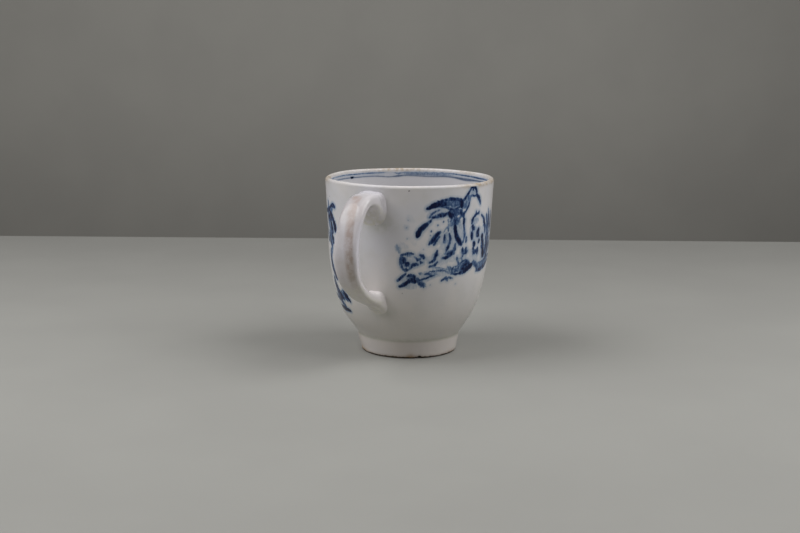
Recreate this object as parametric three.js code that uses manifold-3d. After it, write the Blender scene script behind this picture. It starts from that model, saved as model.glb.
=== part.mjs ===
// A small handled porcelain coffee cup, in millimetres, with +Z up.
// The round body is turned about a vertical axis and the handle reaches out towards +X.
// The origin is on the table, in the middle of the cup's length and width.

import * as THREE from "three";
import { mergeVertices } from "three/addons/utils/BufferGeometryUtils.js";
import Module from "manifold-3d";

// Driving dimensions of the bowl
const CUP_HEIGHT = 65;
const RIM_RADIUS = 31;
const LIP_THICKNESS = 1.9;
const SHOULDER_RADIUS = 29.97; // where the straight upper wall starts to turn in
const SHOULDER_HEIGHT = 45.1;
const SHOULDER_SWEEP = 28.8; // how far down the upper wall's line pulls the lower wall
const SHOULDER_TURN = 1.56; // how far in that pull has come at its end
const FOOT_SWEEP_OUT = 2.7; // how the lower wall leaves the foot ring, outwards
const FOOT_SWEEP_UP = 4.9; // and upwards
const WALL_THICKNESS = 2.4; // at the shoulder
const FLOOR_THICKNESS = 4.2; // between the drinking side and the recess underneath
const FLOOR_RADIUS = 9; // flat middle of the drinking side
const FLOOR_SWEEP = 1.1; // how far past the foot ring the flat floor pulls the inner wall
const INNER_SWEEP = 27.7; // how far down the shoulder pulls the inner wall
const INNER_TURN = 2.2; // how far in that pull has come at its end

// Driving dimensions of the foot ring
const FOOT_HEIGHT = 6.8;
const FOOT_TOP_RADIUS = 18.9;
const FOOT_TAPER = 1.2; // how much narrower the ring is where it stands
const FOOT_THICKNESS = 3.6; // at its seat under the bowl
const FOOT_EDGE = 0.5; // bevel on both sides of the face that stands on the table
const BASE_DROP = 1.6; // how far the base hangs down inside the ring

// Driving dimensions of the handle, on the middle line of its strap
const UPPER_JOINT_DROP = 7.1; // below the rim
const UPPER_JOINT_RISE = THREE.MathUtils.degToRad(28.7); // slope where it leaves the wall
const UPPER_JOINT_SWEEP = 15; // how far that slope pulls the curve
const HANDLE_REACH = 17.75; // from the wall at the upper joint to the strap's widest point
const WIDEST_HEIGHT = 43;
const ARCH_SWEEP = 5; // straightness above the widest point
const BELLY_SWEEP = 12.5; // straightness below it
const LOWER_JOINT_HEIGHT = 23.2;
const LOWER_JOINT_RISE = THREE.MathUtils.degToRad(9.6);
const LOWER_JOINT_SWEEP = 10.6;

// Driving dimensions of the strap's section and of its two slip joints
const STRAP_THICKNESS = 3.7;
const STRAP_UPPER_WIDTH = 8.8;
const STRAP_LOWER_WIDTH = 6.9;
const STRAP_SQUARENESS = 3; // 2 is an ellipse, and a larger number is nearer to a rectangle
const UPPER_FLARE = 5.4; // extra thickness where the strap meets the wall
const LOWER_FLARE = 3.6;
const WIDTH_FLARE = 1; // extra width at both joints
const FLARE_FADE = 3; // how quickly the flares die away along the strap
const SLIP_LENGTH = 2.3; // from the wall to the flat face that carries the strap
const PIECE_GAP = 0.3; // clearance between pieces that meet on a round face
const SLIP_ROOT = 4; // how far the strap's line is carried on inside the wall before the cut

// Fineness of the curved surfaces
const TURNED_SEGMENTS = 60;
const WALL_STEPS = 12;
const LIP_STEPS = 6;
const ARCH_STEPS = 24;
const BELLY_STEPS = 16;
const ROOT_STEPS = 2;
const SECTION_POINTS = 20;
const HALVINGS = 40; // of the search for the wall's radius at a height

const wasm = await Module();
wasm.setup();

// Joining and cutting of closed meshes

function solidFrom(geometry) {
  const bare = geometry.clone();
  bare.deleteAttribute("normal");
  bare.deleteAttribute("uv");
  const merged = mergeVertices(bare);
  return new wasm.Manifold(
    new wasm.Mesh({
      numProp: 3,
      vertProperties: new Float32Array(merged.attributes.position.array),
      triVerts: new Uint32Array(merged.index.array),
    }),
  );
}

function geometryFrom(solid) {
  const mesh = solid.getMesh();
  const geometry = new THREE.BufferGeometry();
  geometry.setAttribute("position", new THREE.BufferAttribute(mesh.vertProperties, 3));
  geometry.setIndex(new THREE.BufferAttribute(mesh.triVerts, 1));
  geometry.computeVertexNormals();
  return geometry;
}

// Outlines of the turned pieces, as radius and height

const point = (radius, height) => new THREE.Vector2(radius, height);

// The lower wall swings from the foot ring up to the shoulder in one curve.
const lowerWall = new THREE.CubicBezierCurve(
  point(FOOT_TOP_RADIUS, FOOT_HEIGHT),
  point(FOOT_TOP_RADIUS + FOOT_SWEEP_OUT, FOOT_HEIGHT + FOOT_SWEEP_UP),
  point(SHOULDER_RADIUS - SHOULDER_TURN, SHOULDER_HEIGHT - SHOULDER_SWEEP),
  point(SHOULDER_RADIUS, SHOULDER_HEIGHT),
);

const lipRadius = LIP_THICKNESS / 2;
const lipCentre = point(RIM_RADIUS - lipRadius, CUP_HEIGHT - lipRadius);
const recessTop = FOOT_HEIGHT - BASE_DROP;
const floorTop = recessTop + FLOOR_THICKNESS;

// The drinking side falls from inside the lip to the flat middle of the floor.
const innerWall = new THREE.CubicBezierCurve(
  point(SHOULDER_RADIUS - WALL_THICKNESS, SHOULDER_HEIGHT),
  point(SHOULDER_RADIUS - WALL_THICKNESS - INNER_TURN, SHOULDER_HEIGHT - INNER_SWEEP),
  point(FOOT_TOP_RADIUS + FLOOR_SWEEP, floorTop),
  point(FLOOR_RADIUS, floorTop),
);

function lipArc() {
  const arc = new THREE.ArcCurve(lipCentre.x, lipCentre.y, lipRadius, 0, Math.PI, false);
  return arc.getPoints(LIP_STEPS);
}

function wallRadiusAt(height) {
  if (height >= SHOULDER_HEIGHT) {
    const share = (height - SHOULDER_HEIGHT) / (lipCentre.y - SHOULDER_HEIGHT);
    return THREE.MathUtils.lerp(SHOULDER_RADIUS, RIM_RADIUS, Math.min(share, 1));
  }
  let low = 0;
  let high = 1;
  for (let halving = 0; halving < HALVINGS; halving += 1) {
    const middle = (low + high) / 2;
    if (lowerWall.getPoint(middle).y < height) low = middle;
    else high = middle;
  }
  return lowerWall.getPoint(low).x;
}

function turned(outline) {
  const geometry = new THREE.LatheGeometry(outline, TURNED_SEGMENTS);
  geometry.rotateX(Math.PI / 2);
  return geometry;
}

function bowlGeometry() {
  const seatInner = FOOT_TOP_RADIUS - FOOT_THICKNESS - PIECE_GAP;
  return turned([
    point(0, recessTop),
    point(seatInner - BASE_DROP, recessTop),
    point(seatInner, FOOT_HEIGHT),
    ...lowerWall.getPoints(WALL_STEPS),
    ...lipArc(),
    ...innerWall.getPoints(WALL_STEPS),
    point(0, floorTop),
  ]);
}

function footRingGeometry() {
  const inner = FOOT_TOP_RADIUS - FOOT_THICKNESS;
  const outer = FOOT_TOP_RADIUS - FOOT_TAPER;
  return turned([
    point(inner, FOOT_HEIGHT),
    point(inner, FOOT_EDGE),
    point(inner + FOOT_EDGE, 0),
    point(outer - FOOT_EDGE, 0),
    point(outer, FOOT_EDGE),
    point(FOOT_TOP_RADIUS, FOOT_HEIGHT),
    point(inner, FOOT_HEIGHT),
  ]);
}

// The outer wall grown by the slip's clearance, which shapes the handle's two joints.
function wallCutterGeometry() {
  const grown = (p) => point(p.x + PIECE_GAP, p.y);
  return turned([
    point(0, FOOT_HEIGHT),
    ...lowerWall.getPoints(WALL_STEPS).map(grown),
    grown(point(RIM_RADIUS, lipCentre.y)),
    grown(point(RIM_RADIUS, CUP_HEIGHT)),
    point(0, CUP_HEIGHT),
  ]);
}

// The strap's middle line, in the plane of the handle: x is the radius from the cup's axis

const upperJoint = point(
  wallRadiusAt(CUP_HEIGHT - UPPER_JOINT_DROP),
  CUP_HEIGHT - UPPER_JOINT_DROP,
);
const lowerJoint = point(wallRadiusAt(LOWER_JOINT_HEIGHT), LOWER_JOINT_HEIGHT);
const widest = point(upperJoint.x + HANDLE_REACH, WIDEST_HEIGHT);

const along = (start, angle, distance) =>
  point(start.x + Math.cos(angle) * distance, start.y + Math.sin(angle) * distance);

const arch = new THREE.CubicBezierCurve(
  upperJoint,
  along(upperJoint, UPPER_JOINT_RISE, UPPER_JOINT_SWEEP),
  point(widest.x, widest.y + ARCH_SWEEP),
  widest,
);
const belly = new THREE.CubicBezierCurve(
  widest,
  point(widest.x, widest.y - BELLY_SWEEP),
  along(lowerJoint, LOWER_JOINT_RISE, LOWER_JOINT_SWEEP),
  lowerJoint,
);
const upperRoot = new THREE.LineCurve(
  along(upperJoint, UPPER_JOINT_RISE, -SLIP_ROOT),
  upperJoint,
);
const lowerRoot = new THREE.LineCurve(
  lowerJoint,
  along(lowerJoint, LOWER_JOINT_RISE, -SLIP_ROOT),
);

// Stations along the whole line, each with its distance from the two wall joints.
function strapStations() {
  const pieces = [
    [upperRoot, ROOT_STEPS],
    [arch, ARCH_STEPS],
    [belly, BELLY_STEPS],
    [lowerRoot, ROOT_STEPS],
  ];
  const archLength = arch.getLength();
  const strapLength = archLength + belly.getLength();
  const stations = [];
  let travelled = -upperRoot.getLength();
  pieces.forEach(([curve, steps], order) => {
    const length = curve.getLength();
    for (let step = order === 0 ? 0 : 1; step <= steps; step += 1) {
      const share = step / steps;
      const fromUpper = travelled + share * length;
      stations.push({
        middle: curve.getPointAt(share),
        tangent: curve.getTangentAt(share),
        fromUpper: Math.max(fromUpper, 0),
        fromLower: Math.max(strapLength - fromUpper, 0),
        taper: THREE.MathUtils.smoothstep(fromUpper, archLength, strapLength),
      });
    }
    travelled += length;
  });
  return stations;
}

function strapGeometry() {
  const positions = [];
  const indices = [];
  const stations = strapStations();
  const rounded = (value) => Math.sign(value) * Math.abs(value) ** (2 / STRAP_SQUARENESS);
  stations.forEach(({ middle, tangent, fromUpper, fromLower, taper }) => {
    const nearUpper = Math.exp(-fromUpper / FLARE_FADE);
    const nearLower = Math.exp(-fromLower / FLARE_FADE);
    const flare = UPPER_FLARE * nearUpper + LOWER_FLARE * nearLower;
    const halfThickness = (STRAP_THICKNESS + flare) / 2;
    const width = THREE.MathUtils.lerp(STRAP_UPPER_WIDTH, STRAP_LOWER_WIDTH, taper);
    const halfWidth = (width + WIDTH_FLARE * (nearUpper + nearLower)) / 2;
    for (let corner = 0; corner < SECTION_POINTS; corner += 1) {
      const angle = (corner / SECTION_POINTS) * 2 * Math.PI;
      const side = rounded(Math.cos(angle)) * halfWidth;
      const out = rounded(Math.sin(angle)) * halfThickness;
      positions.push(middle.x - tangent.y * out, side, middle.y + tangent.x * out);
    }
  });
  for (let ring = 0; ring < stations.length - 1; ring += 1) {
    for (let corner = 0; corner < SECTION_POINTS; corner += 1) {
      const a = ring * SECTION_POINTS + corner;
      const b = ring * SECTION_POINTS + ((corner + 1) % SECTION_POINTS);
      indices.push(a, b, a + SECTION_POINTS, b, b + SECTION_POINTS, a + SECTION_POINTS);
    }
  }
  const last = (stations.length - 1) * SECTION_POINTS;
  for (let corner = 1; corner < SECTION_POINTS - 1; corner += 1) {
    indices.push(0, corner + 1, corner);
    indices.push(last, last + corner, last + corner + 1);
  }
  const geometry = new THREE.BufferGeometry();
  geometry.setAttribute("position", new THREE.Float32BufferAttribute(positions, 3));
  geometry.setIndex(indices);
  return geometry;
}

// The handle is cut off flat a little way from the wall, and a collar of slip fills the rest.
function handlePieces() {
  const strap = solidFrom(strapGeometry());
  const wall = solidFrom(wallCutterGeometry());
  const blockFor = (faceRadius, lowest, highest) => {
    const block = new THREE.BoxGeometry(faceRadius, 2 * RIM_RADIUS, highest - lowest);
    block.translate(faceRadius / 2, 0, (lowest + highest) / 2);
    return solidFrom(block);
  };
  const halfway = (upperJoint.y + lowerJoint.y) / 2;
  const upperBlock = blockFor(upperJoint.x + SLIP_LENGTH, halfway, 2 * CUP_HEIGHT);
  const lowerBlock = blockFor(lowerJoint.x + SLIP_LENGTH, 0, halfway);
  return {
    handle: geometryFrom(strap.subtract(upperBlock).subtract(lowerBlock)),
    upperSlip: geometryFrom(strap.intersect(upperBlock).subtract(wall)),
    lowerSlip: geometryFrom(strap.intersect(lowerBlock).subtract(wall)),
  };
}

// Finishes

const glazedBody = new THREE.MeshStandardMaterial({ color: 0xd8d6d3, roughness: 0.15 });
const glazedFoot = new THREE.MeshStandardMaterial({ color: 0xd2cfca, roughness: 0.22 });
const glazedHandle = new THREE.MeshStandardMaterial({ color: 0xd3ccc8, roughness: 0.18 });
const glazedSlip = new THREE.MeshStandardMaterial({ color: 0xcfcdca, roughness: 0.18 });

// Assembly

const handleParts = handlePieces();
const cup = new THREE.Group();

function addPiece(name, geometry, material) {
  const piece = new THREE.Mesh(geometry, material);
  piece.name = name;
  cup.add(piece);
}

addPiece("bowl", bowlGeometry(), glazedBody);
addPiece("foot_ring", footRingGeometry(), glazedFoot);
addPiece("handle", handleParts.handle, glazedHandle);
addPiece("upper_handle_slip", handleParts.upperSlip, glazedSlip);
addPiece("lower_handle_slip", handleParts.lowerSlip, glazedSlip);

// The cup's axis stands back from the origin, so that the whole length is centred.
const middle = new THREE.Box3().setFromObject(cup).getCenter(new THREE.Vector3());
cup.position.x = -middle.x;

const part = new THREE.Group();
part.add(cup);

export default part;
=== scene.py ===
import math

import bpy
import numpy as np
from mathutils import Matrix, Vector


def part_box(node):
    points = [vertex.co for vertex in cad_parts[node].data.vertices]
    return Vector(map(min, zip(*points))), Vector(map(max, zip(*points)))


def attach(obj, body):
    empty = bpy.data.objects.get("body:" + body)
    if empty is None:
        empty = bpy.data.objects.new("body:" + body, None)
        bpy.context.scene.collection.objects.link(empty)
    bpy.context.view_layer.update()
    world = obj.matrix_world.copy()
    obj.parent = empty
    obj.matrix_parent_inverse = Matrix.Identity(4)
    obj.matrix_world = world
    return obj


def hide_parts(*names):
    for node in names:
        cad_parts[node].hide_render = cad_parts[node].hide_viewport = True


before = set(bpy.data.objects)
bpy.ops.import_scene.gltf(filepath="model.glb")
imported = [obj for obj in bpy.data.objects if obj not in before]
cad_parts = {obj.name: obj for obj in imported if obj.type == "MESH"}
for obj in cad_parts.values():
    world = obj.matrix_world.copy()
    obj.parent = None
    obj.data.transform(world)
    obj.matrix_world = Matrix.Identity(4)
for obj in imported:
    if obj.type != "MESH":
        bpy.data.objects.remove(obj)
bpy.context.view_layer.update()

# Sizes in millimetres, measured from the cup's axis and from the table
MM = 0.001
bowl_low, bowl_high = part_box("bowl")
AXIS = Vector(((bowl_low[0] + bowl_high[0]) / 2, (bowl_low[1] + bowl_high[1]) / 2, 0))

RIM_RADIUS = 31.0
LIP_CENTRE = (30.05, 64.05)
LIP_RADIUS = 0.95
SHOULDER = (29.97, 45.1)
INNER_SHOULDER = (27.57, 45.1)
FOOT_TOP = (18.9, 6.8)
FLOOR_TOP = 9.4
RECESS_TOP = 5.2


def cubic(points, count):
    """Points of a cubic Bezier curve, ends included."""
    t = np.linspace(0, 1, count)[:, None]
    a, b, c, d = (np.array(p, float) for p in points)
    return (1 - t) ** 3 * a + 3 * (1 - t) ** 2 * t * b + 3 * (1 - t) * t**2 * c + t**3 * d


def walked(line):
    """Distance along a flat line from its first point to each of its points."""
    return np.concatenate([[0], np.cumsum(np.hypot(*np.diff(line, axis=0).T))])


LOWER_WALL = cubic([FOOT_TOP, (21.6, 11.7), (28.41, 16.3), SHOULDER], 400)
WALL_LINE = np.vstack([LOWER_WALL, [(RIM_RADIUS, LIP_CENTRE[1])]])
WALL_LENGTH = walked(WALL_LINE)


def wall_radius(z):
    """Outer radius of the wall at a height."""
    return np.interp(z, WALL_LINE[:, 1], WALL_LINE[:, 0])


def wall_length(z):
    """Distance along the wall's outline, up from the foot ring."""
    return np.interp(z, WALL_LINE[:, 1], WALL_LENGTH)


def gauss(degrees, middle, width):
    """A soft patch round the cup, 1 at its middle."""
    return np.exp(-((((degrees - middle + 180) % 360 - 180) / width) ** 2))


def patches(degrees, *spots):
    """Sum of soft patches round the cup, each given as strength, middle and width."""
    return sum(strength * gauss(degrees, middle, width) for strength, middle, width in spots)


def smooth(x, low, high):
    """Rises softly from 0 at low to 1 at high."""
    t = np.clip((x - low) / (high - low), 0, 1)
    return t * t * (3 - 2 * t)


def between(x, *pairs):
    """The value at x on straight lines through pairs of x and value."""
    return np.interp(x, *zip(*pairs))


# Meshes: rings of points joined to closed skins


def put(mesh, name, values):
    """Gives each point of a mesh a value that a material can read."""
    layer = mesh.attributes.new(name, "FLOAT", "POINT")
    layer.data.foreach_set("value", np.asarray(values, np.float32))


def linked(name, data):
    thing = bpy.data.objects.new(name, data)
    bpy.context.scene.collection.objects.link(thing)
    return thing


def build_mesh(name, points, faces, sharp=()):
    """A smooth-shaded object. Its points are in millimetres, and its faces come from join_rings."""
    mesh = bpy.data.meshes.new(name)
    corners = [[index for index, _ in face] for face in faces]
    mesh.from_pydata((np.asarray(points) * MM).tolist(), [], corners)
    mesh.transform(Matrix.Translation(AXIS))
    mesh.shade_smooth()
    if sharp:
        keys = {tuple(sorted(pair)) for pair in sharp}
        flags = mesh.attributes.new("sharp_edge", "BOOLEAN", "EDGE")
        for edge in mesh.edges:
            if tuple(sorted(edge.vertices)) in keys:
                flags.data[edge.index].value = True
    layer = mesh.uv_layers.new(name="OFBake")
    layer.data.foreach_set("uv", np.array([spot for face in faces for _, spot in face], np.float32).ravel())
    mesh.validate()
    return linked(name, mesh)


def join_rings(rings, columns, closed=False, pole_margin=None):
    """Faces between rings, as lists of corners, and at need triangles that fill both ends.

    A ring is its first point, its step between columns and its row in the baked picture. A corner is
    a point with its place in that picture. The points of the poles come after those of the rings.
    """

    def corner(ring, k):
        first, step, v = ring
        return first + (k % columns) // step, (k / columns, v)

    faces = []
    back_to_start = [rings[0][:2] + (1.0,)] if closed else []
    for low, high in zip(rings, rings[1:] + back_to_start):
        fine, coarse = sorted((low[1], high[1]))
        for k in range(0, columns, coarse):
            a, b = corner(low, k), corner(low, k + coarse)
            c, d = corner(high, k + coarse), corner(high, k)
            if fine == coarse:
                faces.append((a, b, c, d))
            elif low[1] < high[1]:
                m = corner(low, k + fine)
                faces += [(a, m, d), (m, c, d), (m, b, c)]
            else:
                m = corner(high, k + fine)
                faces += [(a, m, d), (a, b, m), (b, c, m)]
    if pole_margin is not None:
        pole = rings[-1][0] + columns // rings[-1][1]
        for ring, way in ((rings[0], -1), (rings[-1], 1)):
            _, step, v = ring
            for k in range(0, columns, step):
                middle = (pole, ((k + step / 2) / columns, v + way * pole_margin))
                faces.append((corner(ring, k), corner(ring, k + step))[::way] + (middle,))
            pole += 1
    return faces


def ring_edges(first, count):
    """The edges round one ring."""
    return [(first + k, first + (k + 1) % count) for k in range(count)]


def ring_points(angles, radius, height):
    return np.stack([radius * np.cos(angles), radius * np.sin(angles), height], 1)


# The bowl

# Azimuths of the bowl's columns, in degrees from the handle, wider apart behind the handle
COLUMN_DEGREES = np.concatenate([np.arange(-27, 15, 1.5), np.arange(15, 333, 0.75)])

# Azimuth of the side that the photograph shows
SHOWN_SIDE = 26

# The lip's wave starts at this height and is full so much further up
WAVE_START = 55
WAVE_RISE = 8


def foot_swell(degrees, z):
    """How far the foot's top and the wall just above it stand out on the side left of the handle."""
    return 0.4 * smooth(z, 1.5, 4.5) * (1 - smooth(z, 6.8, 11)) * gauss(degrees, -64, 35)


def hand_turned(angles, r, z):
    """How far the clay stands off a true circle, less so near the axis."""
    degrees = np.degrees(angles)
    lift = min(max((z - 5) / 60, 0), 1)
    turned = 0.14 * np.cos(2 * angles - 0.7) + 0.06 * np.cos(3 * angles + 1.2) + 0.03 * np.cos(7 * angles)
    # the lower wall stands out on the side left of the handle
    swell = smooth(z, 6.8, 15) * (1 - 0.55 * smooth(z, 28, 50))
    return (lift * turned + 0.85 * swell * gauss(degrees, -66, 48) + foot_swell(degrees, z)) * min(r / 20, 1)


def lip_wave(angles):
    """The lip dips towards the shown side and wavers a little."""
    dip = -0.27 * (1 + np.cos(angles - math.radians(SHOWN_SIDE)))
    rise = 0.24 * gauss(np.degrees(angles), 250, 30)
    return dip + rise + 0.06 * np.cos(2 * angles + 0.6) + 0.05 * np.cos(5 * angles + 2.0)


def bowl_outline():
    """Rows of the bowl's outline, from the middle of the base round to the middle of the floor.

    Each is a radius, a height, a step between columns, and the zone of the baked picture it is in.
    """
    under = FOOT_TOP[1]
    base = [(r, RECESS_TOP, 4) for r in (3.0, 6.0, 9.0)]
    base += [(12.0, RECESS_TOP, 2), (13.2, RECESS_TOP + 0.05, 2), (13.7, RECESS_TOP + 0.35, 2)]
    base += [(14.9, under - 0.15, 2), (15.15, under, 2), (17.0, under, 2), FOOT_TOP + (1,)]
    rows = [(r, z, step, "base") for r, z, step in base]
    upper_wall = np.arange(14.2, LIP_CENTRE[1] - 0.2, 0.4)
    for z in np.concatenate([np.arange(7.4, 13.9, 0.65), upper_wall, [LIP_CENTRE[1]]]):
        rows.append((float(wall_radius(z)), float(z), 1, "wall"))
    for turn in np.radians(np.arange(15, 180, 15)):
        r = LIP_CENTRE[0] + LIP_RADIUS * math.cos(turn)
        rows.append((r, LIP_CENTRE[1] + LIP_RADIUS * math.sin(turn), 1, "wall"))
    # rows lie close together where the two painted rings run
    inner_radius = LIP_CENTRE[0] - LIP_RADIUS
    under_lip = np.concatenate([np.arange(LIP_CENTRE[1], 61.4, -0.2), np.arange(61.2, 59.9, -0.4)])
    for step, heights in ((1, under_lip), (2, np.arange(58.6, 45.5, -1.4))):
        for z in heights:
            share = (LIP_CENTRE[1] - z) / (LIP_CENTRE[1] - INNER_SHOULDER[1])
            r = inner_radius + share * (INNER_SHOULDER[0] - inner_radius)
            rows.append((r, float(z), step, "inside"))
    for r, z in cubic([INNER_SHOULDER, (25.37, 17.4), (20, FLOOR_TOP), (9, FLOOR_TOP)], 34):
        rows.append((float(r), float(z), 2 if r > 14 else 4, "inside"))
    rows += [(r, FLOOR_TOP, 4, "inside") for r in (6.0, 3.0)]
    return rows


# Share of the baked picture's height that each stretch of the outline gets
BAKE_ROWS = {"base": (0.012, 0.075), "wall": (0.085, 0.735), "inside": (0.745, 0.985)}


def bowl_rings(rows):
    """The points of the bowl, with both poles last, and its rings."""
    counts = {zone: sum(row[3] == zone for row in rows) for zone in BAKE_ROWS}
    seen = dict.fromkeys(BAKE_ROWS, 0)
    points, rings, first = [], [], 0
    for r, z, step, zone in rows:
        angles = np.radians(COLUMN_DEGREES[::step])
        radius = np.full_like(angles, r)
        height = np.full_like(angles, z)
        if z > FOOT_TOP[1] + 0.1 or (r, z) == FOOT_TOP:
            radius += hand_turned(angles, r, z)
        if z > WAVE_START:
            height += lip_wave(angles) * min((z - WAVE_START) / WAVE_RISE, 1)
        low, high = BAKE_ROWS[zone]
        rings.append((first, step, low + (high - low) * seen[zone] / (counts[zone] - 1)))
        seen[zone] += 1
        points.append(ring_points(angles, radius, height))
        first += len(angles)
    points.append(np.array([[0, 0, RECESS_TOP], [0, 0, FLOOR_TOP]], float))
    return np.vstack(points), rings


rows = bowl_outline()
bowl_points, rings = bowl_rings(rows)
spans = [slice(first, first + len(COLUMN_DEGREES) // step) for first, step, _ in rings]
seat = spans[[row[:2] for row in rows].index(FOOT_TOP)]
bowl_faces = join_rings(rings, len(COLUMN_DEGREES), pole_margin=0.004)
bowl = build_mesh("bowl_body", bowl_points, bowl_faces, ring_edges(seat.start, seat.stop - seat.start))

# Brush strokes of the underglaze painting. A stroke is its tone, its half widths at the start, the
# middle and the end in mm, and its points. A point is an azimuth from the handle in degrees and a
# height above the table in mm. On the shown side most points were picked by eye along the strokes of
# the photograph, and a scratch script turned them into places on the wall.

BIRD = [
    # wing and back
    (1.5, (0.5, 0.95, 0.95), [(37.6, 56.7), (40, 57.3), (43, 58.0), (46, 58.3)]),
    (0.82, (0.5, 0.8, 0.75), [(45.5, 58.9), (48.5, 59.5), (52.5, 59.8), (57, 59.8), (61.5, 59.3)]),
    (0.85, (0.5, 0.6, 0.4), [(46.5, 57.3), (49, 57.2), (52.5, 56.6), (55.5, 56.0), (58.5, 56.2)]),
    (0.9, (0.5, 0.6, 0.5), [(48.6, 59.3), (49.2, 58.4), (49, 57.4)]),
    (0.75, (0.3, 0.35, 0.3), [(56.6, 58.2), (57, 57.4), (56.8, 56.6)]),
    (1.35, (0.7, 0.95, 0.7), [(61.8, 59.3), (62.3, 58.3), (62.7, 56.9)]),
    (0.7, (0.4, 0.5, 0.3), [(58.5, 56.3), (60.5, 56.8), (62.5, 56.6)]),
    (0.8, (0.3, 0.45, 0.3), [(39.0, 53.4), (41.2, 54.9), (43.9, 55.7), (46, 56.1)]),
    (1.2, (0.5, 0.8, 0.6), [(41.4, 53.4), (44.6, 53.9), (47.5, 54.2), (50, 54.4), (51.7, 54.6)]),
    (1.2, (0.5, 0.8, 0.5), [(52.7, 55.0), (53.8, 54.1), (54.9, 53.1)]),
    (0.95, (0.6, 0.75, 0.5), [(55, 54.1), (57, 53.8), (58.7, 53.7)]),
    (0.7, (0.4, 0.5, 0.4), [(58.5, 54.8), (61, 54.9), (63, 55.2)]),
    # drooping tail
    (1.35, (0.7, 0.95, 0.85), [(31.3, 46.9), (32.4, 48.4), (34, 49.6)]),
    (1.1, (0.9, 0.75, 0.4), [(34, 49.6), (36.5, 50.7), (38.5, 51.5), (39.9, 52.3)]),
    # neck and head
    (1.0, (0.5, 0.5, 0.5), [(63.8, 59.1), (66.2, 60.5), (68.3, 61.9), (69.6, 62.9)]),
    (0.85, (0.3, 0.4, 0.35), [(70.2, 60.8), (69.4, 58.7), (68.4, 56.7), (66.4, 55.1), (65, 54.1)]),
    (1.15, (0.4, 0.5, 0.45), [(69.6, 62.9), (70.5, 63.7), (72.4, 63.9), (74.9, 63.4), (76.2, 62.1),
                              (76.4, 60.8)]),
    (0.85, (0.35, 0.4, 0.35), [(69.2, 60.7), (71.4, 60.8), (74.2, 60.5), (76.4, 60.7)]),
    (1.3, (0.6, 0.75, 0.25), [(76.7, 60.7), (78.8, 59.7), (80.4, 58.3), (81.3, 56.9)]),
    # breast and belly
    (0.75, (0.7, 0.8, 0.6), [(61.3, 54.6), (63.4, 54.1), (64.5, 53.2)]),
    (1.2, (0.35, 0.55, 0.4), [(65.0, 52.8), (65.3, 51.7), (65.1, 50.6)]),
    (0.85, (0.4, 0.45, 0.4), [(65.2, 50.4), (65.9, 48.4), (66.3, 46.3), (65.4, 44.0)]),
    (1.15, (0.5, 0.75, 1.0), [(57.6, 52.8), (58.0, 49.4), (59.2, 46.7), (61.3, 44.5)]),
    (0.95, (0.9, 0.95, 0.5), [(60.6, 45.6), (62.2, 44.1), (63.9, 42.9)]),
    (0.65, (0.35, 0.4, 0.35), [(60.6, 51.0), (61.2, 52.6), (63.2, 53.9)]),
    (0.95, (0.35, 0.5, 0.3), [(68.4, 45.5), (68.3, 44.7), (67.8, 43.8)]),
]

LEAVES = [
    (0.95, (0.45, 0.95, 0.5), [(39.3, 44), (42, 45.5), (44.2, 47.1), (46.8, 48.2)]),
    (0.8, (0.35, 0.5, 0.3), [(42.7, 43.7), (44.3, 45.2), (46.5, 46.6)]),
    (0.9, (0.4, 0.5, 0.45), [(50.3, 47.2), (50.4, 45.8), (50.2, 44.5)]),
    (0.9, (0.4, 0.6, 0.4), [(53.6, 47.4), (54.5, 45.8), (54, 44.2), (53.2, 43.4)]),
    (1.15, (0.35, 0.6, 0.35), [(53.2, 43.3), (52.6, 42.3), (51.7, 41.4)]),
    (0.45, (0.3, 0.35, 0.3), [(49.3, 48), (51, 49.4), (53.3, 50.2)]),
    (0.5, (0.3, 0.35, 0.3), [(52.2, 52.4), (52.8, 50.5), (52.6, 48.5)]),
    (0.95, (0.5, 0.55, 0.4), [(49, 38.8), (52, 39.0), (54.7, 39.4)]),
    (0.85, (0.4, 0.75, 0.7), [(52.8, 40.2), (55.3, 40.3), (57.6, 40.3)]),
    (0.85, (0.65, 0.6, 0.35), [(57, 40.6), (58.2, 41.9), (58.7, 43.6)]),
    (0.95, (0.4, 0.5, 0.5), [(40, 37.4), (42.3, 37.9), (43.7, 38.8)]),
    (1.0, (0.45, 0.7, 0.35), [(43.5, 39.2), (44.4, 40.2), (45, 41.5)]),
    (0.95, (0.4, 0.5, 0.4), [(40, 35.9), (43, 36.3), (45.6, 37.4)]),
    (1.15, (0.4, 0.65, 0.4), [(65.2, 41.7), (65.3, 40.8), (65.6, 39.9)]),
    (0.85, (0.5, 0.8, 0.5), [(68.4, 41.7), (68.9, 40.8), (68.7, 39.9)]),
    (0.6, (0.4, 0.5, 0.4), [(66, 39.9), (67.3, 39.7), (68.4, 40)]),
    (0.85, (0.3, 0.4, 0.2), [(65.6, 39.6), (65.9, 39.0), (65.5, 38.4)]),
    (0.9, (0.4, 0.5, 0.4), [(60.7, 38.5), (61.6, 37.3), (62.8, 36.3)]),
    (0.4, (0.3, 0.35, 0.3), [(62.8, 38.3), (64.5, 38.1), (66, 37.4)]),
]

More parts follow.
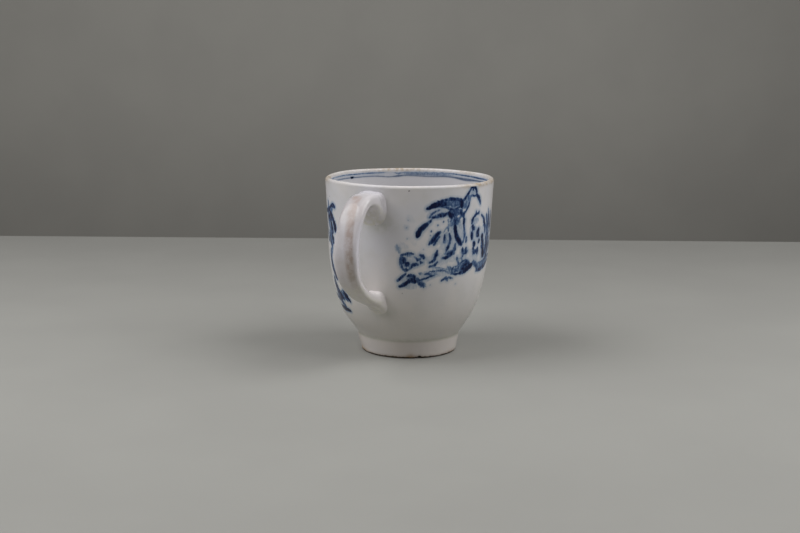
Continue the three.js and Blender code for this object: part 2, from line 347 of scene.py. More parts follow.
GROUND = [
    # round rock and its leaves
    (0.8, (0.4, 0.6, 0.5), [(21, 40.3), (20.1, 38.8), (20.1, 36.9), (21.3, 35.5)]),
    (0.8, (0.45, 0.5, 0.3), [(20.6, 40.1), (23, 40.5), (26, 40.9), (28.6, 40.6)]),
    (1.0, (0.5, 0.85, 0.5), [(22.1, 39.1), (22.4, 38.3), (22.1, 37.5)]),
    (1.0, (0.6, 0.95, 0.6), [(24, 36.6), (24.7, 36.9), (25.2, 37.3)]),
    (0.95, (0.5, 0.6, 0.35), [(20.8, 35.9), (22.3, 35.0), (24.8, 34.8), (26.5, 35.1)]),
    (1.0, (0.4, 0.75, 0.4), [(26.2, 35.4), (27.8, 36.2), (29.7, 36.8), (32.3, 36.8)]),
    (0.9, (0.4, 0.65, 0.3), [(31.5, 38.3), (32.6, 38.8), (33.3, 38.6)]),
    (0.95, (0.35, 0.6, 0.4), [(33.3, 40.3), (34.9, 39.9), (36, 39.0)]),
    (0.85, (0.3, 0.45, 0.35), [(33.3, 37.9), (34.3, 37.4), (35.1, 37.5)]),
    (0.5, (0.3, 0.4, 0.3), [(29.3, 39.7), (30.4, 39.1), (31.2, 38.8)]),
    (0.3, (0.3, 0.45, 0.3), [(17.4, 42.9), (18.3, 42.2), (19.3, 41.5)]),
    # near rock
    (1.05, (0.4, 0.55, 0.35), [(17.9, 30.8), (19.6, 31.5), (21.7, 32.7), (23.6, 33.4)]),
    (1.1, (0.55, 0.75, 0.5), [(19.6, 28.8), (21.8, 29.3), (24.3, 30.1), (26.5, 30.6)]),
    (1.1, (0.6, 1.1, 0.6), [(26, 31.0), (28, 31.1), (30.3, 30.5)]),
    (1.0, (0.4, 0.7, 0.6), [(24.7, 32.6), (26.8, 32.9), (28.8, 32.5), (29.9, 31.5)]),
    (0.65, (0.5, 0.7, 0.4), [(31.8, 31.7), (33.2, 30.3), (35, 29.2), (36.7, 28.6)]),
    (0.9, (0.35, 0.45, 0.3), [(32.2, 31.4), (33.3, 30.7)]),
    # ground
    (0.95, (0.35, 0.4, 0.3), [(33.6, 31.0), (36.5, 31.6), (39.3, 31.9)]),
    (0.85, (0.3, 0.4, 0.3), [(39.3, 32.1), (42.3, 32.6), (45.5, 33.0)]),
    (0.85, (0.35, 0.4, 0.3), [(36.8, 33.2), (39, 33.4), (41, 33.2)]),
    (0.75, (0.3, 0.4, 0.3), [(40.5, 34.1), (44, 34.2), (48, 34.4), (51.7, 34.1)]),
    (0.4, (0.25, 0.35, 0.25), [(42, 35.3), (46.5, 35.4), (51, 34.9)]),
    (0.55, (0.3, 0.4, 0.3), [(51, 34.3), (54, 33.5), (57, 32.7)]),
    (0.55, (0.3, 0.4, 0.3), [(53.5, 35.6), (56, 34.6), (58, 34.1)]),
    (0.35, (0.4, 0.6, 0.4), [(33.3, 33.6), (34.5, 33.3)]),
    (0.85, (0.3, 0.45, 0.25), [(49.6, 30.5), (51.3, 31.2), (52.7, 31.9)]),
    (0.85, (0.3, 0.45, 0.25), [(52.6, 31.8), (53.6, 31.1), (54.3, 30.3)]),
    (0.9, (0.3, 0.45, 0.25), [(55.4, 31.6), (56.8, 31.3), (58.2, 31.1)]),
    # far rock
    (0.8, (0.4, 0.4, 0.35), [(57.4, 33.5), (57.6, 34.6), (59.3, 35.3), (61.5, 35.3)]),
    (0.7, (0.3, 0.4, 0.35), [(61.5, 35.5), (64, 36.3), (66.5, 37), (69, 37.3)]),
    (0.75, (0.4, 0.7, 0.5), [(68.5, 36.9), (70.6, 36.7), (72.7, 36.1)]),
    (1.0, (0.4, 0.45, 0.5), [(58, 32.9), (60.5, 32.5), (64, 32.7), (67, 32.8)]),
    (1.35, (0.7, 1.1, 0.8), [(67, 34.2), (70, 34.2), (73, 34.5), (75.6, 35.1)]),
    (1.2, (0.4, 0.75, 0.6), [(66, 35.2), (68.5, 35.3), (71.5, 35.8)]),
    (1.2, (0.5, 0.7, 0.5), [(64, 32.9), (67.5, 32.9), (71, 33.4)]),
    (0.62, (0.6, 0.9, 0.6), [(77.8, 36.2), (80.3, 35.3), (82.6, 34.0), (84, 32.8)]),
    (0.9, (0.6, 1.0, 0.6), [(83, 32.5), (89, 32.7), (97, 33.6), (104, 35.0)]),
    (0.75, (0.4, 0.75, 0.4), [(89.5, 35.4), (95.5, 36), (104, 36.6), (110, 36.8)]),
]

REEDS = [
    (0.9, (0.35, 0.55, 0.45), [(79.3, 53.6), (77, 53.3), (75.4, 52.7)]),
    (1.0, (0.45, 0.65, 0.4), [(74.4, 52.3), (73.3, 51.3), (73.1, 50.4)]),
    (0.9, (0.3, 0.4, 0.3), [(77.0, 54.4), (77.3, 53.4)]),
    (0.9, (0.3, 0.4, 0.3), [(80.4, 54.3), (80.6, 53.4)]),
    (1.3, (0.6, 0.8, 0.5), [(74.0, 49.2), (75.0, 48.5), (76.0, 48.0)]),
    (1.4, (0.6, 0.9, 0.6), [(81.2, 47.8), (80.3, 46.9), (80.3, 45.9), (81.3, 45.3)]),
    (1.4, (0.5, 0.7, 0.5), [(73.6, 47.0), (73.6, 45.8), (74.0, 44.7)]),
    (1.3, (0.5, 0.7, 0.5), [(76.2, 43.4), (76.9, 42.8), (77.2, 42.2)]),
    (1.3, (0.45, 0.6, 0.45), [(82.6, 43.9), (82.3, 43.4), (81.7, 42.9)]),
    (0.6, (0.3, 0.35, 0.3), [(75, 43.6), (75.5, 42.3), (76.2, 41.2)]),
    (0.7, (0.5, 0.9, 0.6), [(76.8, 40.2), (78.4, 39.6), (80.4, 40.0)]),
    (1.1, (0.4, 0.5, 0.4), [(75.9, 41.2), (76.4, 40.1), (76.6, 39.0)]),
    (1.1, (0.4, 0.5, 0.4), [(81.4, 41.0), (81.7, 40.0), (81.3, 38.9)]),
    (0.95, (0.4, 0.75, 0.6), [(83.8, 52.9), (87.1, 51.6), (88.9, 49.8), (90.6, 47.9), (91.2, 46.2)]),
    (0.7, (0.5, 0.9, 0.7), [(92.4, 52.4), (94, 49.8), (94.6, 46.8), (94.8, 44.2)]),
    (0.95, (0.4, 0.9, 0.6), [(95.4, 54.3), (97.2, 51.0), (98.2, 48.0), (97.6, 45)]),
    (0.75, (0.4, 1.0, 0.6), [(100.8, 53.2), (102.9, 49.5), (102.8, 45.6)]),
    (1.45, (0.8, 1.15, 1.0), [(87.0, 45.0), (88.4, 41.6), (90.6, 37.8)]),
    (0.95, (0.7, 1.0, 0.9), [(93.6, 44.6), (95.2, 42.4), (94.8, 40.4), (93.8, 38.5)]),
    (1.05, (0.7, 1.1, 0.8), [(99.2, 43.8), (99.6, 41.0), (98.6, 38.1), (96.6, 36.8)]),
    (0.7, (0.6, 1.0, 0.6), [(103.5, 44), (104.4, 41), (103.8, 38.5)]),
]

# The flower on its long stem, on the other side of the handle
FLOWER = [
    (1.4, (0.7, 0.85, 0.55), [(-35.6, 55.2), (-38.2, 55.5), (-41.5, 55.2)]),
    (1.15, (0.5, 0.8, 0.7), [(-41.5, 55.1), (-45, 54.2), (-50, 53.2), (-56, 52.6)]),
    (1.45, (0.6, 1.1, 1.0), [(-46.5, 53.4), (-41.2, 51.5), (-37.8, 49.2), (-35.8, 46.5)]),
    (1.2, (0.6, 0.9, 0.7), [(-49, 52.4), (-45, 50.4), (-42.3, 47.9), (-40.3, 45.6)]),
    (0.8, (0.6, 0.9, 0.6), [(-48, 56.4), (-48.6, 53), (-49, 48.7)]),
    (1.0, (0.6, 0.8, 0.6), [(-60, 50), (-56, 47), (-53, 44.3), (-50, 42)]),
    (1.3, (0.5, 0.8, 0.6), [(-42.2, 44.9), (-40.7, 43.4), (-39.7, 41.8)]),
    (1.0, (0.5, 0.8, 0.5), [(-48, 44.6), (-46.2, 42.4), (-44.3, 40.8), (-42.6, 39.7)]),
    (0.5, (0.3, 0.4, 0.3), [(-68, 53), (-66, 49), (-66, 45), (-63, 41.5)]),
    (0.85, (0.5, 0.6, 0.4), [(-59, 54.8), (-64, 55.4), (-69, 54.2), (-72, 51.5)]),
    (0.8, (0.4, 0.6, 0.4), [(-72.5, 50.5), (-74, 47.5), (-72, 44.5), (-68, 42)]),
    # stem
    (1.1, (0.8, 1.1, 1.0), [(-47.8, 36.8), (-46.6, 34.2), (-44.4, 31.3), (-40.3, 28.7)]),
    (0.95, (0.9, 1.4, 1.2), [(-46.3, 28), (-45, 25.8), (-43.4, 23.2), (-41, 21)]),
    (1.4, (0.6, 1.0, 0.6), [(-41.5, 23.6), (-39, 22.2), (-36, 20.9)]),
    (0.6, (0.4, 0.6, 0.4), [(-45.5, 39.2), (-47.3, 38), (-48, 36.6)]),
    # leaves at its foot
    (1.2, (0.5, 0.9, 0.5), [(-52, 21.6), (-48.5, 21.0), (-45, 20.6), (-41, 20.0)]),
    (1.4, (0.5, 0.9, 0.45), [(-34.2, 24.2), (-31.6, 23.0), (-29.3, 21.8), (-26.9, 20.7)]),
    (0.6, (0.4, 0.5, 0.3), [(-60, 22), (-59, 19.5), (-57.5, 17.3)]),
    (1.6, (0.7, 1.0, 0.6), [(-47, 17.3), (-42, 17.0), (-37, 16.9), (-32, 16.8)]),
    (0.85, (0.4, 0.8, 0.3), [(-61, 21), (-66, 23), (-71, 24.2), (-77, 24)]),
    (0.8, (0.4, 0.7, 0.3), [(-60, 17.6), (-66, 18), (-72, 19.2), (-79, 19.2)]),
    (0.9, (0.3, 0.7, 0.3), [(-58, 30), (-63, 32), (-68, 34.8), (-73, 35.8)]),
]

# What the far side carries: a pine on an island, two birds in the air, and a rock with grasses
FAR_SIDE = [
    (0.9, (0.5, 0.8, 0.3), [(109, 35.2), (115, 34.9), (121, 33.8), (127, 33.2)]),
    (0.6, (0.4, 0.6, 0.3), [(112, 33), (117, 32), (124, 31.6)]),
    (0.9, (0.35, 0.7, 0.2), [(111, 36), (113, 41), (117, 46), (122, 49.5)]),
    (0.85, (0.35, 0.6, 0.2), [(113, 36), (116.5, 39.5), (121, 42), (126, 43)]),
    (0.7, (0.3, 0.5, 0.2), [(109.5, 37), (109, 42), (111, 48), (114.5, 52.5)]),
    # birds in the air
    (0.95, (0.2, 0.5, 0.35), [(134, 55.2), (137, 56.7), (139.5, 55.6)]),
    (0.95, (0.35, 0.5, 0.2), [(139.5, 55.6), (142, 56.9), (145.5, 56.2)]),
    (0.9, (0.2, 0.4, 0.3), [(147, 50.3), (149.5, 51.6), (151.5, 50.7)]),
    (0.9, (0.3, 0.4, 0.2), [(151.5, 50.7), (153.5, 51.7), (156.5, 51.2)]),
    # island
    (1.0, (0.4, 0.8, 0.4), [(158, 27.2), (165, 28.8), (173, 29.2), (181, 28.6)]),
    (0.7, (0.4, 0.6, 0.3), [(162, 25.6), (171, 26.1), (180, 25.8), (189, 26.3)]),
    (1.0, (0.5, 0.9, 0.4), [(181, 28.6), (189, 29.6), (198, 29.2), (207, 27.2)]),
    (0.5, (0.4, 0.5, 0.3), [(170, 23.3), (182, 23.1), (196, 23.9), (205, 24.6)]),
    (0.9, (0.5, 0.8, 0.5), [(163, 29.4), (165.5, 32), (169.5, 32.6), (172.5, 30.6)]),
    (0.8, (0.4, 0.6, 0.4), [(167.5, 29.2), (169, 30.6), (171, 30)]),
    # pine
    (0.95, (0.8, 0.6, 0.4), [(184, 29.8), (183, 34), (185.5, 38.5), (184.5, 43), (187.5, 47.5)]),
    (0.9, (0.45, 0.4, 0.25), [(185, 37.5), (189.5, 40.5), (194, 41.8)]),
    (0.9, (0.45, 0.4, 0.25), [(184.8, 41), (180.5, 44), (176.5, 45)]),
    (0.8, (0.3, 0.3, 0.2), [(183.6, 34.2), (179.5, 36.3), (176, 36.6)]),
    # rock with grasses
    (1.0, (0.5, 0.9, 0.5), [(224, 24.2), (226, 28.5), (230.5, 31.5), (235, 29.5)]),
    (0.95, (0.5, 0.8, 0.5), [(235, 29.5), (238.5, 31.6), (242.5, 29), (244, 24.6)]),
    (0.6, (0.5, 0.8, 0.4), [(229.5, 25.2), (231.5, 28), (233, 25.6)]),
    (0.9, (0.5, 0.7, 0.3), [(218, 23.4), (228, 23.2), (238, 23.1), (250, 24.2)]),
    (0.5, (0.4, 0.5, 0.3), [(222, 21), (234, 20.8), (246, 21.6)]),
    (0.9, (0.35, 0.55, 0.15), [(228, 31), (225, 37), (220.5, 42), (215, 44.5)]),
    (0.9, (0.35, 0.55, 0.15), [(229.5, 32), (229, 39), (231.5, 45.5), (236, 50)]),
    (0.85, (0.35, 0.5, 0.15), [(231.5, 32), (234.5, 37.5), (239.5, 41.5), (245, 42.8)]),
    (0.8, (0.3, 0.45, 0.15), [(229, 32), (226.5, 40.5), (223.5, 47.5), (224.5, 53)]),
    (0.8, (0.3, 0.45, 0.15), [(238.5, 31.5), (242, 35.5), (247.5, 37.5), (252, 36.8)]),
]


def pine_clumps():
    """Needles of the pine, as short strokes fanned out over each clump."""
    dice = np.random.default_rng(11)
    strokes = []
    clumps = [(188, 49.5, 9), (196, 43, 7), (175.5, 46.5, 7.5), (174.5, 37.6, 5.5), (181, 53, 6)]
    for az, z, spread in clumps:
        half = spread * 0.8
        strokes.append((0.55, (0.5, 0.9, 0.5), [(az - half, z - 0.4), (az, z + 0.5), (az + half, z - 0.4)]))
        for lean in np.linspace(-1, 1, 9):
            root = az + lean * spread * 0.75
            tip = root + lean * 3 + dice.normal(0, 0.5)
            top = z + 2.6 - 1.4 * lean**2 + dice.normal(0, 0.25)
            needle = [(root, z - 0.5), ((root + tip) / 2, z + 1.2), (tip, top)]
            strokes.append((0.8 + dice.uniform(0, 0.25), (0.35, 0.4, 0.15), needle))
    return strokes


def flower_heads():
    """Petals of the two round flowers beside the stem, as arcs about each middle."""
    dice = np.random.default_rng(5)
    strokes = []
    for az, z, size in [(-84, 33.5, 3.6), (-92, 46.5, 4.3)]:
        for turn in np.arange(0, 360, 60) + 17:
            arc = []
            for swing, reach in ((-26, 0.55), (-20, 0.95), (0, 1.12), (20, 0.95), (26, 0.55)):
                angle = math.radians(turn + swing)
                reach = size * reach * (1 + dice.normal(0, 0.03))
                arc.append((az + math.cos(angle) * reach / 0.52, z + math.sin(angle) * reach))
            strokes.append((0.75 + dice.uniform(0, 0.25), (0.3, 0.5, 0.3), arc))
        strokes.append((0.9, (0.5, 0.8, 0.5), [(az - 1.2, z), (az + 1.2, z + 0.2)]))
    return strokes


# Stalks and leaves of those two flowers
FLOWER_STALKS = [
    (0.85, (0.35, 0.4, 0.35), [(-74, 24.2), (-79, 26.5), (-82.5, 29.6)]),
    (0.85, (0.35, 0.4, 0.35), [(-82.5, 29.6), (-93, 34), (-96, 38.5), (-93.5, 42)]),
    (0.8, (0.2, 0.8, 0.2), [(-96, 38), (-101, 39.5), (-105, 38.6), (-108, 36.5)]),
    (0.8, (0.2, 0.7, 0.2), [(-90, 33), (-96, 31.6), (-101, 28.8)]),
    (0.9, (0.4, 0.7, 0.3), [(-70, 19.4), (-80, 18.4), (-90, 19), (-100, 20.6)]),
]

# Thin washes laid under the lines, in the same form
WASHES = [
    (0.8, (1.0, 1.3, 0.9), [(45, 58.3), (47.5, 58.4), (49.6, 58.4)]),
    (0.36, (0.9, 1.3, 0.9), [(52, 58.3), (56, 58.2), (60.5, 58)]),
    (0.45, (0.4, 0.5, 0.4), [(50, 59.6), (55, 59.7), (60, 59.4)]),
    (0.45, (0.9, 1.2, 0.9), [(52.5, 54.9), (57, 55), (62.5, 55.0)]),
    (0.28, (0.8, 1.1, 0.8), [(68.2, 60.6), (67.3, 58.7), (66, 57.2), (64.5, 56.6)]),
    (0.08, (0.7, 1.1, 0.7), [(70.5, 62.2), (72.5, 62), (75, 61.6)]),
    (0.4, (0.6, 0.8, 0.6), [(58.3, 53), (59.3, 52), (59.8, 50.5)]),
    (0.10, (0.8, 1.4, 0.8), [(61.3, 51), (62, 48.6), (63.6, 46.3)]),
    (0.3, (0.7, 1.1, 0.6), [(55.3, 53), (55.6, 50.5), (55.8, 48)]),
    (0.25, (0.7, 1.0, 0.7), [(51.5, 47.5), (52.2, 45.5), (52.2, 43.5)]),
    (0.35, (0.7, 1.0, 0.7), [(50.5, 40.2), (54, 40.5), (57.3, 41.3)]),
    (0.3, (0.6, 1.0, 0.6), [(21.2, 39.5), (21.6, 38), (22.3, 36.2)]),
    (0.3, (0.8, 1.2, 0.6), [(25.5, 39.9), (27.5, 39.4)]),
    (0.5, (0.6, 1.2, 0.6), [(24, 31.7), (27, 31.8), (29.5, 31.5)]),
    (0.4, (0.7, 1.1, 0.6), [(33, 30.8), (35, 29.6), (36.8, 29.2)]),
    (0.25, (0.6, 1.1, 0.6), [(38, 32.8), (43, 33.4), (48, 33.7)]),
    (0.3, (0.7, 1.1, 0.8), [(52, 34.4), (55.5, 34.3), (58, 33.6)]),
    (0.4, (0.8, 1.3, 1.0), [(59.5, 34), (63, 34.3), (67, 35.4), (71, 36.2)]),
    (0.3, (0.9, 1.5, 1.0), [(78, 35.8), (83, 34.6), (90, 34.4), (100, 35.4)]),
    (0.35, (0.8, 1.2, 0.8), [(65.5, 39.8), (68.5, 40.3)]),
    (0.12, (0.8, 1.2, 0.8), [(75, 50.6), (77, 50.9), (79, 51.2)]),
    (0.2, (0.7, 1.1, 0.7), [(74.8, 48.2), (75.2, 46.5), (75.3, 44.6)]),
    (0.15, (0.7, 1.1, 0.8), [(86.8, 45.4), (88.3, 43.6), (89.3, 41.6)]),
    (0.25, (0.8, 1.4, 0.9), [(89, 48.8), (92.5, 47.5), (94.5, 45.5)]),
    (0.15, (0.8, 1.4, 0.8), [(92, 52.3), (94, 50.6), (95, 48.6)]),
    (0.3, (1.2, 2.0, 1.4), [(94.5, 51), (96, 46), (95, 39)]),
    (0.2, (0.6, 1.0, 0.6), [(88, 37.2), (94, 36.8), (101, 37)]),
    (0.05, (1.6, 2.4, 1.6), [(41, 45.5), (48, 46), (54, 46.5)]),
    (0.05, (1.6, 2.6, 1.8), [(50, 43), (56, 44), (61, 46)]),
    (0.05, (1.4, 2.2, 1.4), [(56, 49.5), (60, 48), (65, 47)]),
    (0.05, (1.6, 2.2, 1.4), [(40, 38.5), (48, 38.5), (56, 38.5)]),
    (0.05, (1.2, 1.8, 1.2), [(22, 31.5), (32, 31.5), (42, 33), (54, 34)]),
    (0.05, (1.8, 2.6, 1.8), [(22, 37.6), (28, 38), (34, 38.4)]),
    (0.05, (1.6, 2.4, 1.8), [(62, 38.5), (70, 39), (80, 38.5), (90, 37)]),
    (0.05, (1.8, 2.8, 2.0), [(74, 48), (79, 46), (85, 46), (95, 45)]),
    (0.05, (1.4, 2.0, 1.4), [(40, 54.3), (47, 54.8), (52, 54.6)]),
    (0.3, (0.8, 1.2, 0.8), [(-40, 54.4), (-43, 52.8), (-46, 51.6)]),
    (0.35, (0.9, 1.5, 0.9), [(-50, 50.5), (-46.5, 47.5), (-44.5, 44), (-43, 40.5)]),
    (0.35, (0.9, 1.6, 0.9), [(-64, 53), (-70, 49.5), (-68, 45)]),
    (0.3, (0.8, 1.2, 0.6), [(-60, 25), (-57, 21.5), (-50, 20.3)]),
    (0.3, (0.8, 1.2, 0.8), [(-43.5, 39.5), (-46, 37.5), (-46.5, 35)]),
    (0.4, (0.9, 1.5, 1.0), [(-46.5, 26.5), (-44.5, 23), (-41, 19.6), (-37.5, 18.4)]),
    (0.35, (0.7, 1.1, 0.7), [(-37, 23.5), (-34, 22.3), (-31, 21)]),
    (0.3, (0.8, 1.4, 0.6), [(-62, 18.5), (-70, 19.8), (-76, 21)]),
    (0.35, (1.0, 1.8, 0.9), [(160, 27.6), (172, 28), (184, 27.6), (198, 27.8)]),
    (0.3, (0.8, 1.4, 0.8), [(165.5, 30.4), (170, 31)]),
    (0.35, (1.0, 1.8, 1.0), [(226, 26.5), (231, 28.5), (240, 27.8)]),
    (0.3, (0.8, 1.4, 0.8), [(113, 34), (120, 32.8)]),
    (0.3, (1.0, 1.9, 1.0), [(-92, 46), (-91, 47)]),
    (0.015, (0.6, 1.2, 0.7), [(24.3, 54), (26.3, 53.3), (28.3, 52.2)]),
    (0.02, (0.5, 0.9, 0.5), [(22.8, 50.6), (23.9, 50), (24.8, 50.6)]),
    (0.015, (0.6, 1.1, 0.6), [(25.5, 46.5), (28, 45.8), (30, 44.2)]),
    (0.13, (0.5, 0.85, 0.5), [(17.4, 43.4), (18.4, 42.4), (19.4, 41.2)]),
    (0.03, (0.6, 1.0, 0.6), [(19.5, 44.2), (22, 43.6), (25, 43)]),
    (0.07, (0.6, 1.0, 0.6), [(22.5, 30), (26, 28.6), (31, 28.8)]),
    (0.3, (1.0, 1.7, 1.0), [(-84.6, 33.4), (-83.4, 33.6)]),
]

# Stray drops of the blue and small dark specks, as azimuth, height, half width and tone
DROPS = [
    (72.4, 62.9, 0.42, 1.3), (24, 50, 0.3, 0.35), (25, 52.6, 0.3, 0.22), (40.5, 48.6, 0.32, 0.6),
    (40, 47, 0.3, 0.42), (49, 51.8, 0.34, 0.6), (45, 50.6, 0.3, 0.4), (24.5, 46, 0.3, 0.2),
    (61.5, 28.9, 0.3, 0.25), (41, 29.2, 0.32, 0.25), (35.5, 42.2, 0.3, 0.25), (60.2, 38, 0.3, 0.6),
    (150, 37, 0.28, 0.5), (208, 50.4, 0.25, 0.5), (262, 30.5, 0.26, 0.45), (255, 55.2, 0.24, 0.4),
]

# Brown specks of iron in the clay, as azimuth, height and half width
SPECKS = [
    (25.5, 63.4, 0.26), (3.0, 50.6, 0.26), (21, 26.2, 0.14),
    (133.5, 22.6, 0.2), (271.5, 41.4, 0.2), (316.5, 58.6, 0.18),
]

# Distance between the dabs of a stroke in mm, and the softness with which crossing strokes blend
DAB_SPACING = 0.12
BLEND = 0.12

# The depth inside a stroke that stands for bare wall, in mm
FAR_FROM_INK = -1.6

# A little under the least radius of the wall
LEAST_RADIUS = 18

WASH_STRENGTH = 1.2


def brush_line(points):
    """Even places on a smooth line through a stroke's points, as azimuths, heights and shares of it."""
    spots = np.array(points, float)
    ends = np.vstack([2 * spots[0] - spots[1], spots, 2 * spots[-1] - spots[-2]])
    t = np.linspace(0, 1, 24, endpoint=False)[:, None]
    pieces = []
    for k in range(1, len(ends) - 2):
        a, b, c, d = ends[k - 1 : k + 3]
        bend = (2 * a - 5 * b + 4 * c - d) * t**2
        pieces.append(0.5 * (2 * b + (c - a) * t + bend + (3 * b - a - 3 * c + d) * t**3))
    line = np.vstack(pieces + [spots[-1:]])
    across = np.radians(line[:, 0]) * wall_radius(line[:, 1])
    length = walked(np.stack([across, wall_length(line[:, 1])], 1))
    even = np.linspace(0, length[-1], max(int(length[-1] / DAB_SPACING), 2))
    azimuths = np.interp(even, length, line[:, 0])
    heights = np.interp(even, length, line[:, 1])
    return azimuths, heights, even / max(length[-1], 1e-6)


class Layer:
    """Pigment on the wall's points: how deep inside its strokes each lies, in mm, and their tone there."""

    def __init__(self, degrees, heights):
        self.degrees = degrees
        self.radii = wall_radius(heights)
        self.ups = wall_length(heights)
        shape = (len(heights), len(degrees))
        self.depth = np.full(shape, FAR_FROM_INK)
        self.weight = np.full(shape, 1e-9)
        self.tones = np.zeros(shape)

    def spread(self, azimuths, heights, halves, tone):
        """Lays a round dab at each place. Only the points near to them are worked out."""
        reach = max(halves) - FAR_FROM_INK
        low = wall_length(heights.min()) - reach
        high = wall_length(heights.max()) + reach
        rows = np.where((self.ups > low) & (self.ups < high))[0]
        middle = (azimuths.min() + azimuths.max()) / 2
        off = (self.degrees - middle + 180) % 360 - 180
        half_span = (azimuths.max() - azimuths.min()) / 2 + math.degrees(reach / LEAST_RADIUS)
        columns = np.where(np.abs(off) < half_span)[0]
        if not len(rows) or not len(columns):
            return
        radii = self.radii[rows][:, None]
        across = np.radians(off[columns])[None, :] * radii
        up = np.repeat(self.ups[rows][:, None], len(columns), 1)
        best = np.full(across.shape, FAR_FROM_INK)
        for azimuth, height, half in zip(azimuths, heights, halves):
            away = np.hypot(across - math.radians(azimuth - middle) * radii, up - wall_length(height))
            best = np.maximum(best, half - away)
        cells = np.ix_(rows, columns)
        self.depth[cells] = np.maximum(self.depth[cells], best)
        weight = np.exp(np.clip(best, FAR_FROM_INK, 1.0) / BLEND)
        self.weight[cells] += weight
        self.tones[cells] += weight * tone

    def stroke(self, tone, halves, points, dice):
        azimuths, heights, share = brush_line(points)
        half = np.interp(share, [0, 0.5, 1], halves)
        ripple = 1 + 0.10 * np.sin(share * dice.uniform(9, 17) + dice.uniform(0, 6))
        ripple = ripple + 0.06 * np.sin(share * 37 + dice.uniform(0, 6))
        self.spread(azimuths, heights, half * ripple, tone)

    def drop(self, azimuth, height, half, tone=1.0):
        self.spread(np.array([azimuth]), np.array([height]), np.array([half]), tone)

    def tone(self):
        return self.tones / self.weight


wall_rows = [k for k, row in enumerate(rows) if row[3] == "wall" and row[1] <= LIP_CENTRE[1]]
wall_heights = np.array([rows[k][1] for k in wall_rows])
lines, washes, specks = (Layer(COLUMN_DEGREES, wall_heights) for _ in range(3))
dice = np.random.default_rng(3)
strokes = BIRD + LEAVES + GROUND + REEDS + FLOWER + FAR_SIDE + pine_clumps() + flower_heads() + FLOWER_STALKS
for stroke in strokes:
    lines.stroke(*stroke, dice)
for drop in DROPS:
    lines.drop(*drop)
for speck in SPECKS:
    specks.drop(*speck)
for tone, halves, points in WASHES:
    washes.stroke(tone * WASH_STRENGTH, halves, points, dice)

# How deep below the lip's middle the painter's two rings lie, and where the band between them does
UPPER_RING = 0.62
LOWER_RING = 1.86
BETWEEN_RINGS = 1.22

# The rings' depths are stretched, because their lines are thin for the rows of the mesh
RING_GAIN = 1.8

# Heights down to which the inside is painted and the lip is stained and shaded, and the fade to the painted
# shade of the inside
PAINTED_ABOVE = 58
STAINED_AND_SHADED_ABOVE = 62
INSIDE_FADE = 2.5


def border_lines(degrees, depth):
    """How deep inside the two rings a point lies, and their tone, at a depth below the lip's middle."""
    angle = np.radians(degrees)
    wave = 0.08 * np.sin(3 * angle + 1) + 0.05 * np.sin(7 * angle + 2.4) + 0.03 * np.sin(16 * angle)
    broad = gauss(degrees, 140, 24)
    thick = gauss(degrees, 158, 10)
    joint = gauss(degrees, 215, 3.0)
    gap = gauss(degrees, 222, 4)
    sag = patches(degrees, (0.5, 222, 7), (0.32, 192, 10))
    upper = 0.22 + 0.04 * np.sin(2 * angle) + 0.16 * broad + 0.16 * joint - 0.3 * gap
    upper = upper - np.abs(depth - UPPER_RING - wave - 0.2 * broad - 0.5 * joint)
    lower = 0.24 + 0.04 * np.sin(4 * angle + 1) + 0.12 * broad + 0.20 * joint + 0.3 * thick
    lower = lower - np.abs(depth - LOWER_RING - sag - wave * 0.7 - 0.1 * broad - 0.3 * thick)
    best = np.maximum(upper, lower)
    # the upper ring is strong on the right and thin at the back
    strong = between(degrees % 360, (0, 0.50), (120, 0.54), (164, 0.50), (182, 0.28), (212, 0.26),
                     (224, 0.24), (245, 0.42), (262, 0.46), (300, 0.50))
    tone = np.where(upper > lower, strong, 0.38 - 0.08 * gauss(degrees, 158, 8))
    tone = tone + 0.04 * np.sin(5 * angle) + 0.06 * broad
    blob = 0.5 - np.hypot(np.radians(degrees - 256) * 12, (depth - 1.9) * 1.3)
    return RING_GAIN * np.maximum(best, blob), np.where(blob > best, 1.7, tone)


def border_wash(degrees, depth):
    """The thin blue between the rings where the brush was lifted."""
    share = smooth(degrees, 166, 182) * (1 - smooth(degrees, 207, 214)) + 0.24
    return 0.70 - np.abs(depth - BETWEEN_RINGS), 0.22 * share


def lip_stain_and_far_shade(degrees, z):
    """Brown wear in patches along the lip, and painted shade on its far side from the camera, both fading
    below its top.
    """
    # the patch at 208 degrees and the rise away from the shown side are painted shade on the far lip; the
    # other patches are brown stains
    edge = patches(degrees, (1.3, -58, 12), (1.1, 100, 20), (0.7, 74, 14), (0.3, 160, 8), (0.5, -130, 15),
                   (0.55, 208, 14))
    edge = edge + 0.14 + 0.24 * np.sin(np.radians(degrees - SHOWN_SIDE) / 2) ** 2
    return edge * math.exp(-((max(64.6 - z, 0) / 0.9) ** 2))


def pooled(points):
    """Greenish glaze gathered under the joints of the handle and above the foot ring."""
    degrees = np.degrees(np.arctan2(points[:, 1], points[:, 0]))
    z = points[:, 2]
    outer = np.hypot(points[:, 0], points[:, 1]) > wall_radius(z) - 1
    share = 0.5 * gauss(degrees, 6, 11) * np.exp(-(((z - 50.4) / 2.8) ** 2))
    share += 0.6 * gauss(degrees, 4, 9) * np.exp(-(((z - 18.6) / 2.4) ** 2))
    share += 0.5 * np.exp(-((np.maximum(z - FOOT_TOP[1], 0) / 0.8) ** 2))
    return np.where(outer, np.clip(share, 0, 1), 0)


